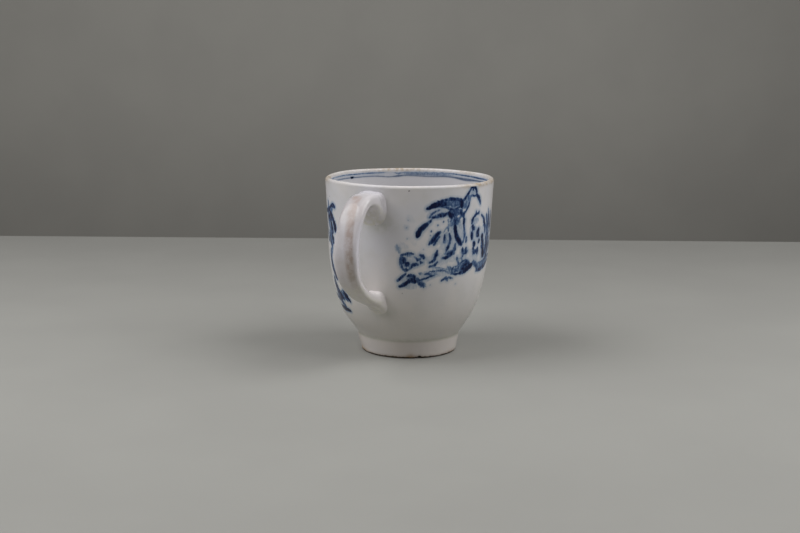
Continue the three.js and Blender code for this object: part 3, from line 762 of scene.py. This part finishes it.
def bowl_marks():
    """The values at the bowl's points that its material reads."""
    on_wall = {
        "line_depth": lines.depth,
        "line_tone": lines.tone(),
        "wash_depth": washes.depth,
        "wash_tone": washes.tone(),
        "speck_depth": specks.depth,
    }
    marks = {}
    for name, values in on_wall.items():
        marks[name] = np.full(len(bowl_points), FAR_FROM_INK if name.endswith("depth") else 0.0)
        for row, index in enumerate(wall_rows):
            marks[name][spans[index]] = values[row]
    marks["stain_and_far_shade"] = np.zeros(len(bowl_points))
    marks["inside"] = np.zeros(len(bowl_points))
    for (r, z, step, zone), span in zip(rows, spans):
        degrees = COLUMN_DEGREES[::step]
        below_lip = LIP_CENTRE[1] - z
        if zone == "inside":
            marks["inside"][span] = smooth(below_lip, 0.0, INSIDE_FADE)
            if z > PAINTED_ABOVE:
                marks["line_depth"][span], marks["line_tone"][span] = border_lines(degrees, below_lip)
                marks["wash_depth"][span], marks["wash_tone"][span] = border_wash(degrees, below_lip)
        if z > STAINED_AND_SHADED_ABOVE:
            marks["stain_and_far_shade"][span] = lip_stain_and_far_shade(degrees, z)
    # the last point is the middle of the floor
    marks["inside"][-1] = 1
    marks["pool"] = pooled(bowl_points)
    return marks


for name, values in bowl_marks().items():
    put(bowl.data, name, values)

# The foot ring

FOOT_COLUMNS = 360
FOOT_INNER = 15.3

# A chip in the seat, up to this height
CHIP_TOP = 1.2
CHIP_DEPTH = 0.55


def foot_outline():
    """Closed outline of the foot ring, up the outside and down the inside."""
    outside = [(16.4, 0.0), (17.25, 0.0), (17.5, 0.08), (17.68, 0.25), (17.78, 0.5), (17.84, 0.9)]
    outside += [(17.84 + 0.078 * k, 0.9 + 0.45 * k) for k in range(1, 11)]
    outside += [(18.66, 5.75), (18.72, 6.1), (18.79, 6.45), FOOT_TOP]
    inside = [(17.2, FOOT_TOP[1]), (FOOT_INNER, FOOT_TOP[1]), (FOOT_INNER, 5.4), (FOOT_INNER, 4.0)]
    inside += [(15.32, 2.6), (15.36, 1.2), (15.45, 0.5), (15.62, 0.15), (15.9, 0.0)]
    return outside + inside


def foot_ring():
    outline = foot_outline()
    degrees = np.arange(FOOT_COLUMNS)
    angles = np.radians(degrees)
    chip = patches(degrees, (1.0, 38.5, 2.4), (0.35, 33.8, 1.0))
    points, rings, sharp = [], [], []
    for k, (r, z) in enumerate(outline):
        radius = np.full(FOOT_COLUMNS, r)
        height = np.full(FOOT_COLUMNS, z)
        chipped = CHIP_DEPTH * chip * (CHIP_TOP - z) / CHIP_TOP
        if r > 17:
            radius = radius + hand_turned(angles, r, z)
        if r > 16 and 0 < z < CHIP_TOP:
            radius = radius - chipped
        if r > 17 and z < CHIP_TOP:
            height = height + chipped
        points.append(ring_points(angles, radius, height))
        rings.append((k * FOOT_COLUMNS, 1, k / len(outline)))
        if (r, z) in (FOOT_TOP, (FOOT_INNER, FOOT_TOP[1])):
            sharp += ring_edges(k * FOOT_COLUMNS, FOOT_COLUMNS)
    faces = join_rings(rings, FOOT_COLUMNS, closed=True)
    ring = build_mesh("foot_ring_turned", np.vstack(points), faces, sharp)
    around = np.tile(degrees, len(outline))
    up = np.repeat([z for r, z in outline], FOOT_COLUMNS)
    dirt = patches(around, (1.1, 28, 5), (1.2, -46, 12), (0.5, 86, 10), (0.8, 190, 14), (0.5, 255, 8))
    put(ring.data, "grime", dirt * np.exp(-((up / 1.4) ** 2)) + 0.25 * gauss(around, -50, 8))
    put(ring.data, "chip", gauss(around, 39.2, 3.4) * np.exp(-((up / 0.7) ** 4)))
    return ring


foot = foot_ring()

# The strap handle. Distances along it are counted from where its line enters the wall at the top.

JOINT_TOP = (float(wall_radius(57.9)), 57.9)
JOINT_LOW = (float(wall_radius(23.2)), 23.2)
TOP_SLOPE = math.radians(28.7)
LOW_SLOPE = math.radians(9.6)
WIDEST = (JOINT_TOP[0] + 17.75, 43.0)

# How far the line goes on inside the wall at both ends
ROOT = 4.0

STRAP_THICK = 3.7
ARCH_WIDE = 8.8
TAIL_WIDE = 6.9

# Points round the strap, and rings along it
SECTION = 72
STRAP_RINGS = 200


def going(start, angle, distance):
    return (start[0] + math.cos(angle) * distance, start[1] + math.sin(angle) * distance)


arch = cubic([JOINT_TOP, going(JOINT_TOP, TOP_SLOPE, 15), (WIDEST[0], WIDEST[1] + 5), WIDEST], 600)
tail = cubic([WIDEST, (WIDEST[0], WIDEST[1] - 12.5), going(JOINT_LOW, LOW_SLOPE, 10.6), JOINT_LOW], 500)
top_root = going(JOINT_TOP, TOP_SLOPE, -ROOT)
low_root = going(JOINT_LOW, LOW_SLOPE, -ROOT)
strap_line = np.vstack([[top_root], arch, tail[1:], [low_root]])
walk = walked(strap_line) - ROOT
ARCH_LENGTH = float(walked(arch)[-1])
STRAP_LENGTH = float(walk[-1] - ROOT)


def on_line(s):
    """Places on the strap's middle line, outwards and up, at a distance along it."""
    return np.stack([np.interp(s, walk, strap_line[:, axis]) for axis in (0, 1)])


def strap_point(s, turn):
    """Points on the strap's skin at a distance along its line and an angle round its section."""
    s, turn = np.broadcast_arrays(s, turn)
    x, z = on_line(s)
    ahead = on_line(s + 0.4) - on_line(s - 0.4)
    tx, tz = ahead / np.hypot(*ahead)
    near_top = np.exp(-np.maximum(s, 0) / 3)
    near_low = np.exp(-np.maximum(STRAP_LENGTH - s, 0) / 3)
    waver = 1 + 0.03 * np.sin(s / 4.1 + 1) + 0.02 * np.sin(s / 1.9)
    half_thick = (STRAP_THICK + 5.4 * near_top + 3.6 * near_low) / 2 * waver
    width = ARCH_WIDE + (TAIL_WIDE - ARCH_WIDE) * smooth(s, ARCH_LENGTH, STRAP_LENGTH)
    waver = 1 + 0.018 * np.sin(s / 5.3 + 2) + 0.01 * np.sin(s / 2.3 + 1)
    half_wide = (width + near_top + 0.1 * near_low) / 2 * waver
    # the section is a rounded box, a superellipse of power 3
    reach = (np.abs(np.cos(turn)) ** 3 + np.abs(np.sin(turn)) ** 3) ** (-1 / 3)
    side = np.cos(turn) * reach * half_wide + 0.18 * np.sin(s / 9 + 0.6)
    out = np.sin(turn) * reach * half_thick
    return np.stack([x - tz * out, side, z + tx * out], -1)


# Angles round the section, closer together at its narrow edges
even_turn = np.linspace(0, 2 * np.pi, 721)
skin = strap_point(np.full_like(even_turn, ARCH_LENGTH), even_turn)
skin_walk = np.concatenate([[0], np.cumsum(np.linalg.norm(np.diff(skin, axis=0), axis=1))])
TURNS = np.interp(np.linspace(0, skin_walk[-1], SECTION, endpoint=False), skin_walk, even_turn)


def meets_wall(inside, outside):
    """Where each line along the strap passes the wall, by halving."""
    low, high = np.full(SECTION, inside), np.full(SECTION, outside)
    for _ in range(40):
        middle = (low + high) / 2
        spots = strap_point(middle, TURNS)
        buried = np.hypot(spots[:, 0], spots[:, 1]) < wall_radius(spots[:, 2])
        low, high = np.where(buried, middle, low), np.where(buried, high, middle)
    return (low + high) / 2


top_meet = meets_wall(-ROOT, 7.0)
low_meet = meets_wall(STRAP_LENGTH + ROOT, STRAP_LENGTH - 7.0)


def strap_tones(share, turn, side):
    """Grime, gathered glaze, and painted light and shade of the strap.

    They are worked out at a share of its length, an angle round it and a distance from its middle line.
    """
    outer_face = smooth(np.sin(turn), 0.3, 0.75)
    # a worn band runs down the outer face, nearer to its right edge
    middle = between(share, (0.1, -0.4), (0.2, 0.2), (0.3, 0.9), (0.45, 1.8), (0.6, 1.8), (0.8, 1.5))
    band = smooth(side, middle - 2.6, middle) * (1 - smooth(side, middle + 1.2, middle + 2.2))
    band = band * between(share, (0.10, 0), (0.13, 0.8), (0.2, 1.2), (0.3, 1.3), (0.4, 1.1), (0.5, 1.1),
                          (0.6, 0.7), (0.7, 0.3), (0.85, 0.05))
    left_part = between(share, (0.1, 0.04), (0.2, 0.22), (0.42, 0.18), (0.55, 0.30), (0.62, 0.26),
                        (0.75, 0.05))
    mark = 1.3 * np.exp(-(((share - 0.128) / 0.016) ** 2) - ((side + 1.3) / 1.3) ** 2)
    grime = outer_face * np.maximum(band, left_part) + mark
    under_arch = smooth(-np.sin(turn), 0.1, 0.7) * (1 - smooth(share, 0.03, 0.2))
    lower_face = smooth(share, 0.55, 0.72) * smooth(np.sin(turn), -0.3, 0.5)
    pool = np.maximum(0.8 * under_arch, 0.75 * lower_face)
    # painted light and shade: the arch's top and front are painted darker where the lamps light them most,
    # the shaded underside of the arch is painted lighter, and the lower end lighter as a painted highlight
    arch_top = (1 - smooth(share, 0.18, 0.42)) * smooth(np.sin(turn), -0.6, 0.4)
    arch_front = smooth(share, 0.05, 0.14) * (1 - smooth(share, 0.3, 0.42))
    arch_front = arch_front * outer_face * (1 - smooth(side, 2.0, 3.2))
    low_end = smooth(share, 0.82, 0.96) * smooth(side, -1.0, 2.0)
    painted_light_and_shade = 1.05 - 0.16 * arch_top - 0.14 * arch_front + 0.16 * under_arch + 0.17 * low_end
    return grime, pool, painted_light_and_shade


def strap():
    """The handle, which runs half a millimetre into the wall at both ends."""
    buried = 0.5
    shares = np.linspace(0, 1, STRAP_RINGS)
    rings = [strap_point((top_meet - buried) * (1 - k) + (low_meet + buried) * k, TURNS) for k in shares]
    poles = [rings[0].mean(0)[None], rings[-1].mean(0)[None]]
    rows = [(k * SECTION, 1, 0.03 + 0.94 * k / (STRAP_RINGS - 1)) for k in range(STRAP_RINGS)]
    faces = join_rings(rows, SECTION, pole_margin=0.02)
    piece = build_mesh("handle_strap", np.vstack(rings + poles), faces)
    side = np.array([v.co.y for v in piece.data.vertices])[:-2] / MM
    tones = strap_tones(np.repeat(shares, SECTION), np.tile(TURNS, STRAP_RINGS), side)
    # grime, gathered glaze, and painted light and shade, which the material reads
    for name, tone, at_poles in zip(("grime", "pool", "painted_light_and_shade"), tones, (0, 0, 1)):
        put(piece.data, name, np.append(tone, [at_poles, at_poles]))
    return piece


handle = strap()

# The collars of slip, from the strap's skin down to the wall in a hollow curve

COLLAR_STEPS = np.linspace(0, 1, 17)

# How deep the hidden side of a collar lies in the wall and in the strap
HIDDEN = 0.35


def onto_wall(points, off=0.0):
    """Points moved level, towards the axis or away from it, until they stand off the wall by so much."""
    factor = (wall_radius(points[..., 2]) + off) / np.hypot(points[..., 0], points[..., 1])
    return points * np.stack([factor, factor, np.ones_like(factor)], -1)


def unit(vectors):
    return vectors / np.linalg.norm(vectors, axis=1)[:, None]


def collar(name, meet, away, strap_leg, wall_leg, lower_leg, lumpy):
    """A ring of slip. away is 1 where the strap's line leaves the wall and -1 where it comes back."""
    corner = strap_point(meet, TURNS)
    outward = unit(corner - corner.mean(0))
    radial = unit(corner * [1, 1, 0])
    along = unit(outward - (outward * radial).sum(1)[:, None] * radial)
    reach = (wall_leg + lower_leg * np.clip(-along[:, 2], 0, 1) ** 2)[:, None]
    on_wall = onto_wall(corner + along * reach)
    # the shown curve is thumbed into low lumps
    lumps = lumpy * (0.20 + 0.12 * np.sin(3 * TURNS + 1.1) + 0.08 * np.sin(7 * TURNS + 2.3))[:, None]
    rings = []
    for t in COLLAR_STEPS:
        curve = strap_point(meet + away * strap_leg * (1 - t) ** 2, TURNS) + t**2 * (on_wall - corner)
        rings.append(curve + math.sin(math.pi * t) ** 2 * lumps * (outward + radial) / 1.4)
    # the hidden way back, inside the wall and then inside the strap
    rings.append(onto_wall(corner + along * reach * 0.9, -HIDDEN))
    rings.append(onto_wall(corner - outward * 0.5, -HIDDEN))
    rings.append(strap_point(meet + away * strap_leg * 0.9, TURNS) - outward * HIDDEN)
    faces = join_rings([(k * SECTION, 1, k / len(rings)) for k in range(len(rings))], SECTION, closed=True)
    if away > 0:
        faces = [face[::-1] for face in faces]
    return build_mesh(name, np.vstack(rings), faces)


def collar_tones(piece, share, painted_light_and_shade):
    """The strap's tones at the collar's upper edge, which give way to its own towards the wall.

    Its own are glaze gathered low down, and painted light and shade on its side towards the camera, at its
    top, a third down and at its bottom.
    """
    spots = np.array([v.co for v in piece.data.vertices]) / MM
    count = len(spots) // SECTION
    own = np.append(smooth(COLLAR_STEPS, 0.0, 0.55), np.ones(count - len(COLLAR_STEPS)))
    own = np.repeat(own, SECTION)
    low = smooth(-spots[:, 2], -spots[:, 2].max(), -spots[:, 2].min())
    shown_side = smooth(spots[:, 1], -4.5, -1.5)
    grime, pool, pale = strap_tones(share, np.tile(TURNS, count), spots[:, 1])
    # painted light and shade, only on the side towards the camera
    own_painted_light_and_shade = 1 + (np.interp(low, [0, 0.35, 1], painted_light_and_shade) - 1) * shown_side
    put(piece.data, "grime", grime * (1 - own) + 0.02 * own)
    put(piece.data, "pool", pool * (1 - own) + 0.95 * smooth(low, 0.45, 1.0) * own)
    put(piece.data, "painted_light_and_shade", pale * (1 - own) + own_painted_light_and_shade * own)


top_collar = collar("upper_joint_slip", top_meet, 1.0, 2.6, 0.95, 3.0, 1.0)
low_collar = collar("lower_joint_slip", low_meet, -1.0, 2.6, 0.35, 2.9, 0.35)
# painted light and shade: the upper collar darker at its top and lighter below, the lower collar lighter all
# over
collar_tones(top_collar, 0.04, (0.90, 1.08, 1.20))
collar_tones(low_collar, 0.97, (1.12, 1.26, 1.14))

# Materials


class Nodes:
    """Short ways to lay out one material's nodes. Values may be numbers, colours or sockets."""

    def __init__(self, name):
        self.material = bpy.data.materials.new(name)
        self.material.use_nodes = True
        self.tree = self.material.node_tree
        self.tree.nodes.clear()
        output = self.add("OutputMaterial")
        self.shader = self.add("BsdfPrincipled")
        self.join(self.shader.outputs[0], output.inputs["Surface"])
        self.where = self.add("TexCoord").outputs["Object"]

    def add(self, kind):
        return self.tree.nodes.new("ShaderNode" + kind)

    def join(self, source, socket):
        if isinstance(source, (int, float)):
            socket.default_value = source
        elif isinstance(source, tuple):
            socket.default_value = source if len(source) == len(socket.default_value) else (*source, 1.0)
        else:
            self.tree.links.new(source, socket)

    def feed(self, **sources):
        """Joins sources to the shader's sockets, whose names have _ for a blank."""
        for name, source in sources.items():
            self.join(source, self.shader.inputs[name.replace("_", " ")])

    def math(self, kind, *values, clamp=False):
        node = self.add("Math")
        node.operation = kind
        node.use_clamp = clamp
        for value, socket in zip(values, node.inputs):
            self.join(value, socket)
        return node.outputs[0]

    def times(self, first, *others, clamp=False):
        for other in others:
            first = self.math("MULTIPLY", first, other, clamp=clamp)
        return first

    def plus(self, a, b):
        return self.math("ADD", a, b)

    def scaled(self, value, factor, offset):
        """value * factor + offset"""
        return self.math("MULTIPLY_ADD", value, factor, offset)

    def step(self, value, low, high, out_low=0.0, out_high=1.0):
        node = self.add("MapRange")
        node.interpolation_type = "SMOOTHSTEP"
        for socket, number in zip(node.inputs, (value, low, high, out_low, out_high)):
            self.join(number, socket)
        return node.outputs[0]

    def noise(self, size_mm, detail=2.0, rough=0.5, where=None):
        node = self.add("TexNoise")
        node.inputs["Scale"].default_value = 1 / (size_mm * MM)
        node.inputs["Detail"].default_value = detail
        node.inputs["Roughness"].default_value = rough
        self.join(where or self.where, node.inputs["Vector"])
        return node.outputs["Fac"]

    def vector(self, kind, other, output=0):
        """The object's coordinates combined with a vector."""
        node = self.add("VectorMath")
        node.operation = kind
        self.join(self.where, node.inputs[0])
        node.inputs[1].default_value = other
        return node.outputs[output]

    def reads(self, name):
        node = self.add("Attribute")
        node.attribute_name = name
        return node.outputs["Fac"]

    def colour(self, *levels):
        node = self.add("CombineColor")
        for value, socket in zip(levels, node.inputs):
            self.join(value, socket)
        return node.outputs[0]

    def mix(self, share, a, b, kind="MIX"):
        node = self.add("Mix")
        node.data_type = "RGBA"
        node.blend_type = kind
        for value, index in ((share, 0), (a, 6), (b, 7)):
            self.join(value, node.inputs[index])
        return node.outputs[2]

    def tinted(self, paint, tint):
        return self.mix(1.0, paint, tint, "MULTIPLY")

    def height(self):
        node = self.add("SeparateXYZ")
        self.join(self.where, node.inputs[0])
        return node.outputs[2]

    def bump(self, height, distance_mm, under=None):
        node = self.add("Bump")
        node.inputs["Strength"].default_value = 1.0
        node.inputs["Distance"].default_value = distance_mm * MM
        self.join(height, node.inputs["Height"])
        if under is not None:
            self.join(under, node.inputs["Normal"])
        return node.outputs[0]


PORCELAIN = (0.668, 0.648, 0.652)
PORCELAIN_COOL = (0.630, 0.626, 0.656)
PORCELAIN_LOW = (0.625, 0.595, 0.545)
PORCELAIN_DULL = (0.585, 0.575, 0.560)
# painted shade of the cup's inside, a little cooler
PAINTED_INSIDE_SHADE = (0.545, 0.538, 0.562)
DARK_SPECK = (0.16, 0.13, 0.11)
IRON_SPECK = (0.075, 0.058, 0.05)
# brown of the worn lip, also used for the painted shade on its far side
WORN_LIP_AND_FAR_SHADE = (0.35, 0.255, 0.145)

# Glaze where it is gathered: on the wall, above the foot and on the handle
WALL_POOL = (0.40, 0.42, 0.33)
FOOT_POOL = (0.42, 0.43, 0.35)
HANDLE_POOL = (0.63, 0.615, 0.53)

# Wear on the handle, higher up and lower down
HANDLE_WEAR = (0.390, 0.322, 0.303)
HANDLE_WEAR_LOW = (0.375, 0.315, 0.255)

# The foot: patches of grime, the line that dirt leaves above the seat, and the bare seat
FOOT_GRIME = (0.30, 0.175, 0.07)
FOOT_TIDE = (0.30, 0.22, 0.14)
SEAT_DARK = (0.024, 0.017, 0.011)
SEAT_BROWN = (0.075, 0.050, 0.028)

# What is left of red, green and blue light under the strongest pigment, and how the rings inside the
# lip differ from it, which are greyer than the picture on the wall
COBALT = (0.012, 0.041, 0.150)
GREYER = (-0.14, 0.0, 0.26)


def glaze(n, gloss=(0.14, 0.24), pitting=0.006, shine=0.24):
    """Porcelain seen through its glaze: large soft differences of tint and small dark specks."""
    body = n.mix(n.step(n.noise(17), 0.35, 0.65), PORCELAIN, PORCELAIN_COOL)
    body = n.mix(n.step(n.height(), 48 * MM, 4 * MM, 0.0, 0.8), body, PORCELAIN_LOW)
    body = n.mix(n.step(n.noise(5.5, 3), 0.45, 0.75, 0, 0.5), body, PORCELAIN_DULL)
    body = n.mix(n.times(n.step(n.noise(0.55, 1), 0.80, 0.84), 0.55), body, DARK_SPECK)
    ripple = n.bump(n.noise(2.6, 2), 0.035)
    pits = n.bump(n.noise(0.6, 1), pitting, under=ripple)
    rough = n.step(n.noise(6, 3), 0.3, 0.7, *gloss)
    n.feed(Normal=pits, Roughness=rough, IOR=1.45, Specular_IOR_Level=shine)
    return body


def painted_glaze():
    n = Nodes("painted_porcelain")
    body = glaze(n)
    inside = n.reads("inside")
    pool = n.times(n.reads("pool"), n.step(n.noise(1.8, 3), 0.3, 0.65, 0.35, 1.0))
    body = n.mix(n.times(pool, 0.8), body, WALL_POOL)
    # painted shade inside the cup: its inner wall and floor are darker than the outside
    body = n.mix(n.times(inside, 0.85), body, PAINTED_INSIDE_SHADE)
    # the lip is worn and stained where its glaze is thinnest, and painted shade darkens it on its far side
    worn = n.times(n.reads("stain_and_far_shade"), n.step(n.noise(1.5, 4, 0.6), 0.40, 0.66, 0.4, 1.0), clamp=True)
    body = n.mix(n.times(worn, 0.75), body, WORN_LIP_AND_FAR_SHADE)
    # edges of strokes wander, less so inside the lip, and patterns are drawn out along the cup's height
    upright = n.vector("MULTIPLY", (1.0, 1.0, 0.4))
    wander = n.scaled(n.noise(1.0, 2, 0.5, upright), 0.56, -0.27)
    ragged = n.times(n.plus(wander, n.scaled(n.noise(0.32, 1), 0.3, -0.15)), n.scaled(inside, -0.65, 1.0))
    depth = n.plus(n.reads("line_depth"), ragged)
    tone = n.reads("line_tone")
    # pigment is strongest in the middle of a stroke, in patches and in grains, and calmer inside the lip
    calm = n.scaled(inside, -0.8, 1.0)
    core = n.step(depth, 0.0, 0.75, 0.74, 1.18)
    clouds = n.step(n.noise(1.9, 2, 0.5, upright), 0.32, 0.66, -0.34, 0.22)
    streaks = n.step(n.noise(0.7, 4, 0.65, upright), 0.30, 0.66, -0.42, 0.36)
    uneven = n.scaled(n.plus(clouds, streaks), calm, 1.0)
    grain = n.times(n.step(n.noise(0.35, 2), 0.3, 0.7, 0.88, 1.12), core)
    line = n.times(n.step(depth, -0.28, 0.28), tone, uneven, grain)
    halo = n.times(n.step(depth, -1.3, 0.2), 0.10, tone)
    soft_edge = n.times(n.scaled(n.noise(1.1, 3), 1.5, -0.75), calm)
    wash = n.step(n.plus(n.reads("wash_depth"), soft_edge), -0.35, 0.45)
    wash = n.times(wash, n.reads("wash_tone"))
    wash = n.scaled(wash, n.times(n.step(n.noise(0.6, 3, 0.6, upright), 0.3, 0.7, -0.5, 0.6), calm), wash)
    pigment = n.math("MINIMUM", n.math("MAXIMUM", line, n.plus(wash, halo)), 1.5)
    left = []
    for level, greyer in zip(COBALT, GREYER):
        left.append(n.math("POWER", level, n.times(pigment, n.scaled(inside, greyer, 1.0))))
    iron = n.step(n.reads("speck_depth"), -0.14, 0.1, 0.0, 0.85)
    n.feed(Base_Color=n.mix(iron, n.tinted(body, n.colour(*left)), IRON_SPECK))
    return n.material


def foot_glaze():
    n = Nodes("foot_porcelain")
    body = n.tinted(glaze(n), (0.975, 0.950, 0.965))
    height = n.height()
    # glaze gathers under the bowl, and the seat is bare and dark with dirt
    body = n.mix(n.step(height, 5.6 * MM, 6.8 * MM, 0.0, 0.55), body, FOOT_POOL)
    edge = n.plus(height, n.scaled(n.noise(1.6, 3), 0.7 * MM, -0.35 * MM))
    patch = n.times(n.reads("grime"), n.step(n.noise(1.2, 4, 0.6), 0.3, 0.6, 0.4, 1.0), clamp=True)
    body = n.mix(patch, body, FOOT_GRIME)
    body = n.mix(n.step(edge, 0.4 * MM, 1.6 * MM, 0.4, 0.0), body, FOOT_TIDE)
    dirt = n.mix(n.step(n.noise(0.9, 3), 0.35, 0.65), SEAT_DARK, SEAT_BROWN)
    worn_seat = n.step(edge, 0.36 * MM, 0.82 * MM, 1.0, 0.0)
    bare = n.math("MAXIMUM", worn_seat, n.step(n.reads("chip"), 0.28, 0.5))
    n.feed(Base_Color=n.mix(bare, body, dirt), Roughness=n.scaled(bare, 0.5, 0.2))
    return n.material


def handle_glaze():
    n = Nodes("handle_porcelain")
    # painted light and shade: this scales the strap's colour lighter or darker by where the lamps light it
    pale = n.reads("painted_light_and_shade")
    body = n.tinted(glaze(n, gloss=(0.13, 0.28), pitting=0.015, shine=0.45), (0.985, 0.970, 1.0))
    body = n.tinted(body, n.colour(pale, pale, pale))
    # handled for long: pinkish brown in the glaze's fine crazing on the outer face
    worn = n.times(n.reads("grime"), n.step(n.noise(2.4, 4, 0.65), 0.30, 0.66, 0.45, 1.0), clamp=True)
    uneven_height = n.plus(n.height(), n.scaled(n.noise(5, 2), 16 * MM, -8 * MM))
    tint = n.mix(n.step(uneven_height, 48 * MM, 26 * MM), HANDLE_WEAR, HANDLE_WEAR_LOW)
    body = n.mix(worn, body, tint)
    pool = n.times(n.reads("pool"), n.step(n.noise(1.5, 2), 0.3, 0.65, 0.3, 1.0))
    n.feed(Base_Color=n.mix(pool, body, HANDLE_POOL))
    return n.material


bowl.data.materials.append(painted_glaze())
foot.data.materials.append(foot_glaze())
strap_finish = handle_glaze()
for piece in (handle, top_collar, low_collar):
    piece.data.materials.append(strap_finish)

for piece, slot, nodes in [
    (bowl, "bowl_glaze", ["bowl"]),
    (foot, "foot_glaze", ["foot_ring"]),
    (handle, "handle_glaze", ["handle"]),
    (top_collar, "handle_glaze", ["upper_handle_slip"]),
    (low_collar, "handle_glaze", ["lower_handle_slip"]),
]:
    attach(piece, "root")
    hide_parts(*nodes)

# Camera, where the photographer stood, in metres

CAMERA_AZIMUTH = math.radians(SHOWN_SIDE)
CAMERA_DISTANCE = 0.4425
CAMERA_HEIGHT = 0.1092
CAMERA_PITCH = math.radians(10.03)
CAMERA_YAW = math.radians(0.449)
CAMERA_ROLL = math.radians(0.37)

foot_of_axis = Vector((AXIS.x, AXIS.y, 0))
towards = Vector((math.cos(CAMERA_AZIMUTH), math.sin(CAMERA_AZIMUTH), 0))
across = Vector((-towards.y, towards.x, 0))

camera_data = bpy.data.cameras.new("camera")
camera_data.lens = 54
camera_data.sensor_width = 36
camera_data.clip_start = 0.01
camera = linked("camera", camera_data)
camera.location = AXIS + towards * CAMERA_DISTANCE + Vector((0, 0, CAMERA_HEIGHT))
facing = Matrix.Rotation(CAMERA_AZIMUTH + math.pi / 2 + CAMERA_YAW, 4, "Z")
tilt = Matrix.Rotation(math.pi / 2 - CAMERA_PITCH, 4, "X")
roll = Matrix.Rotation(CAMERA_ROLL, 4, "Z")
camera.matrix_world = Matrix.Translation(camera.location) @ facing @ tilt @ roll
bpy.context.scene.camera = camera

# Table and wall, in metres from the cup's axis

TABLE_BEHIND = 0.270
TABLE_BEFORE = 1.6
WALL_BEHIND = 0.60
WALL_LOW = -0.4
WALL_HIGH = 0.3
HALF_WIDTH = 1.5


def place(behind, side, height=0.0):
    """A place behind the cup as the camera sees it, at the left or right end of a sheet."""
    return foot_of_axis - towards * behind + across * side * HALF_WIDTH + Vector((0, 0, height))


def sheet_of(name, corners, material):
    mesh = bpy.data.meshes.new(name)
    mesh.from_pydata([tuple(corner) for corner in corners], [], [tuple(range(len(corners)))])
    mesh.materials.append(material)
    thing = linked(name, mesh)


def plain_with_painted_falloff(name, pale, deep, *painted_falloffs):
    """Plain paint, darkened over distance by painted shade in place of the lamps' falloff.

    A fade is a direction, the distances where it starts and ends, and what it leaves at its start.
    """
    n = Nodes(name)
    paint = n.mix(n.step(n.noise(60, 3), 0.3, 0.7), pale, deep)
    for direction, start, end, left in painted_falloffs:
        level = n.step(n.vector("DOT_PRODUCT", direction, "Value"), start, end, left, 1.0)
        paint = n.tinted(paint, n.colour(level, level, level))
    n.feed(Base_Color=paint, Roughness=0.75, Normal=n.bump(n.noise(1.2, 3), 0.02))
    return n.material


# painted shade: the table darker towards its back
board = plain_with_painted_falloff("table_board", (0.300, 0.298, 0.281), (0.287, 0.285, 0.269), (towards, -0.30, 0.10, 0.80))
table_corners = [(-TABLE_BEFORE, -1), (-TABLE_BEFORE, 1), (TABLE_BEHIND, 1), (TABLE_BEHIND, -1)]
sheet_of("table", [place(behind, side) for behind, side in table_corners], board)

# painted shade: the wall darker low down and towards one side
upward_fade = ((0, 0, 1), -0.10, 0.10, 0.76)
sideways_fade = (-across, -0.42, -0.12, 0.82)
paint = plain_with_painted_falloff("wall_paint", (0.295, 0.290, 0.270), (0.280, 0.275, 0.257), upward_fade, sideways_fade)
wall_corners = [(-1, WALL_LOW), (1, WALL_LOW), (1, WALL_HIGH), (-1, WALL_HIGH)]
sheet_of("wall", [place(WALL_BEHIND, side, height) for side, height in wall_corners], paint)

# Light

# The lamps aim this high above the table, in metres
AIM_HEIGHT = 0.03


def soft_box(name, azimuth, elevation, distance, size, power):
    """A square lamp aimed at the cup, at an azimuth counted from the camera's side."""
    data = bpy.data.lights.new(name, "AREA")
    data.shape = "SQUARE"
    data.size = size
    data.energy = power
    lamp = linked(name, data)
    a = CAMERA_AZIMUTH + math.radians(azimuth)
    e = math.radians(elevation)
    back = Vector((math.cos(a) * math.cos(e), math.sin(a) * math.cos(e), math.sin(e)))
    lamp.location = foot_of_axis + Vector((0, 0, AIM_HEIGHT)) + back * distance
    lamp.rotation_mode = "QUATERNION"
    lamp.rotation_quaternion = (-back).to_track_quat("-Z", "Y")


soft_box("lamp_right", 78, 48, 0.60, 0.45, 2.75)
soft_box("lamp_left", -78, 48, 0.60, 0.45, 2.85)
soft_box("lamp_above", 180, 75, 0.90, 0.9, 0.5)

world = bpy.data.worlds.new("room")
world.use_nodes = True
world.node_tree.nodes["Background"].inputs["Color"].default_value = (1.0, 0.95, 0.88, 1)
world.node_tree.nodes["Background"].inputs["Strength"].default_value = 0.16
bpy.context.scene.world = world
bpy.context.scene.view_settings.view_transform = "Standard"
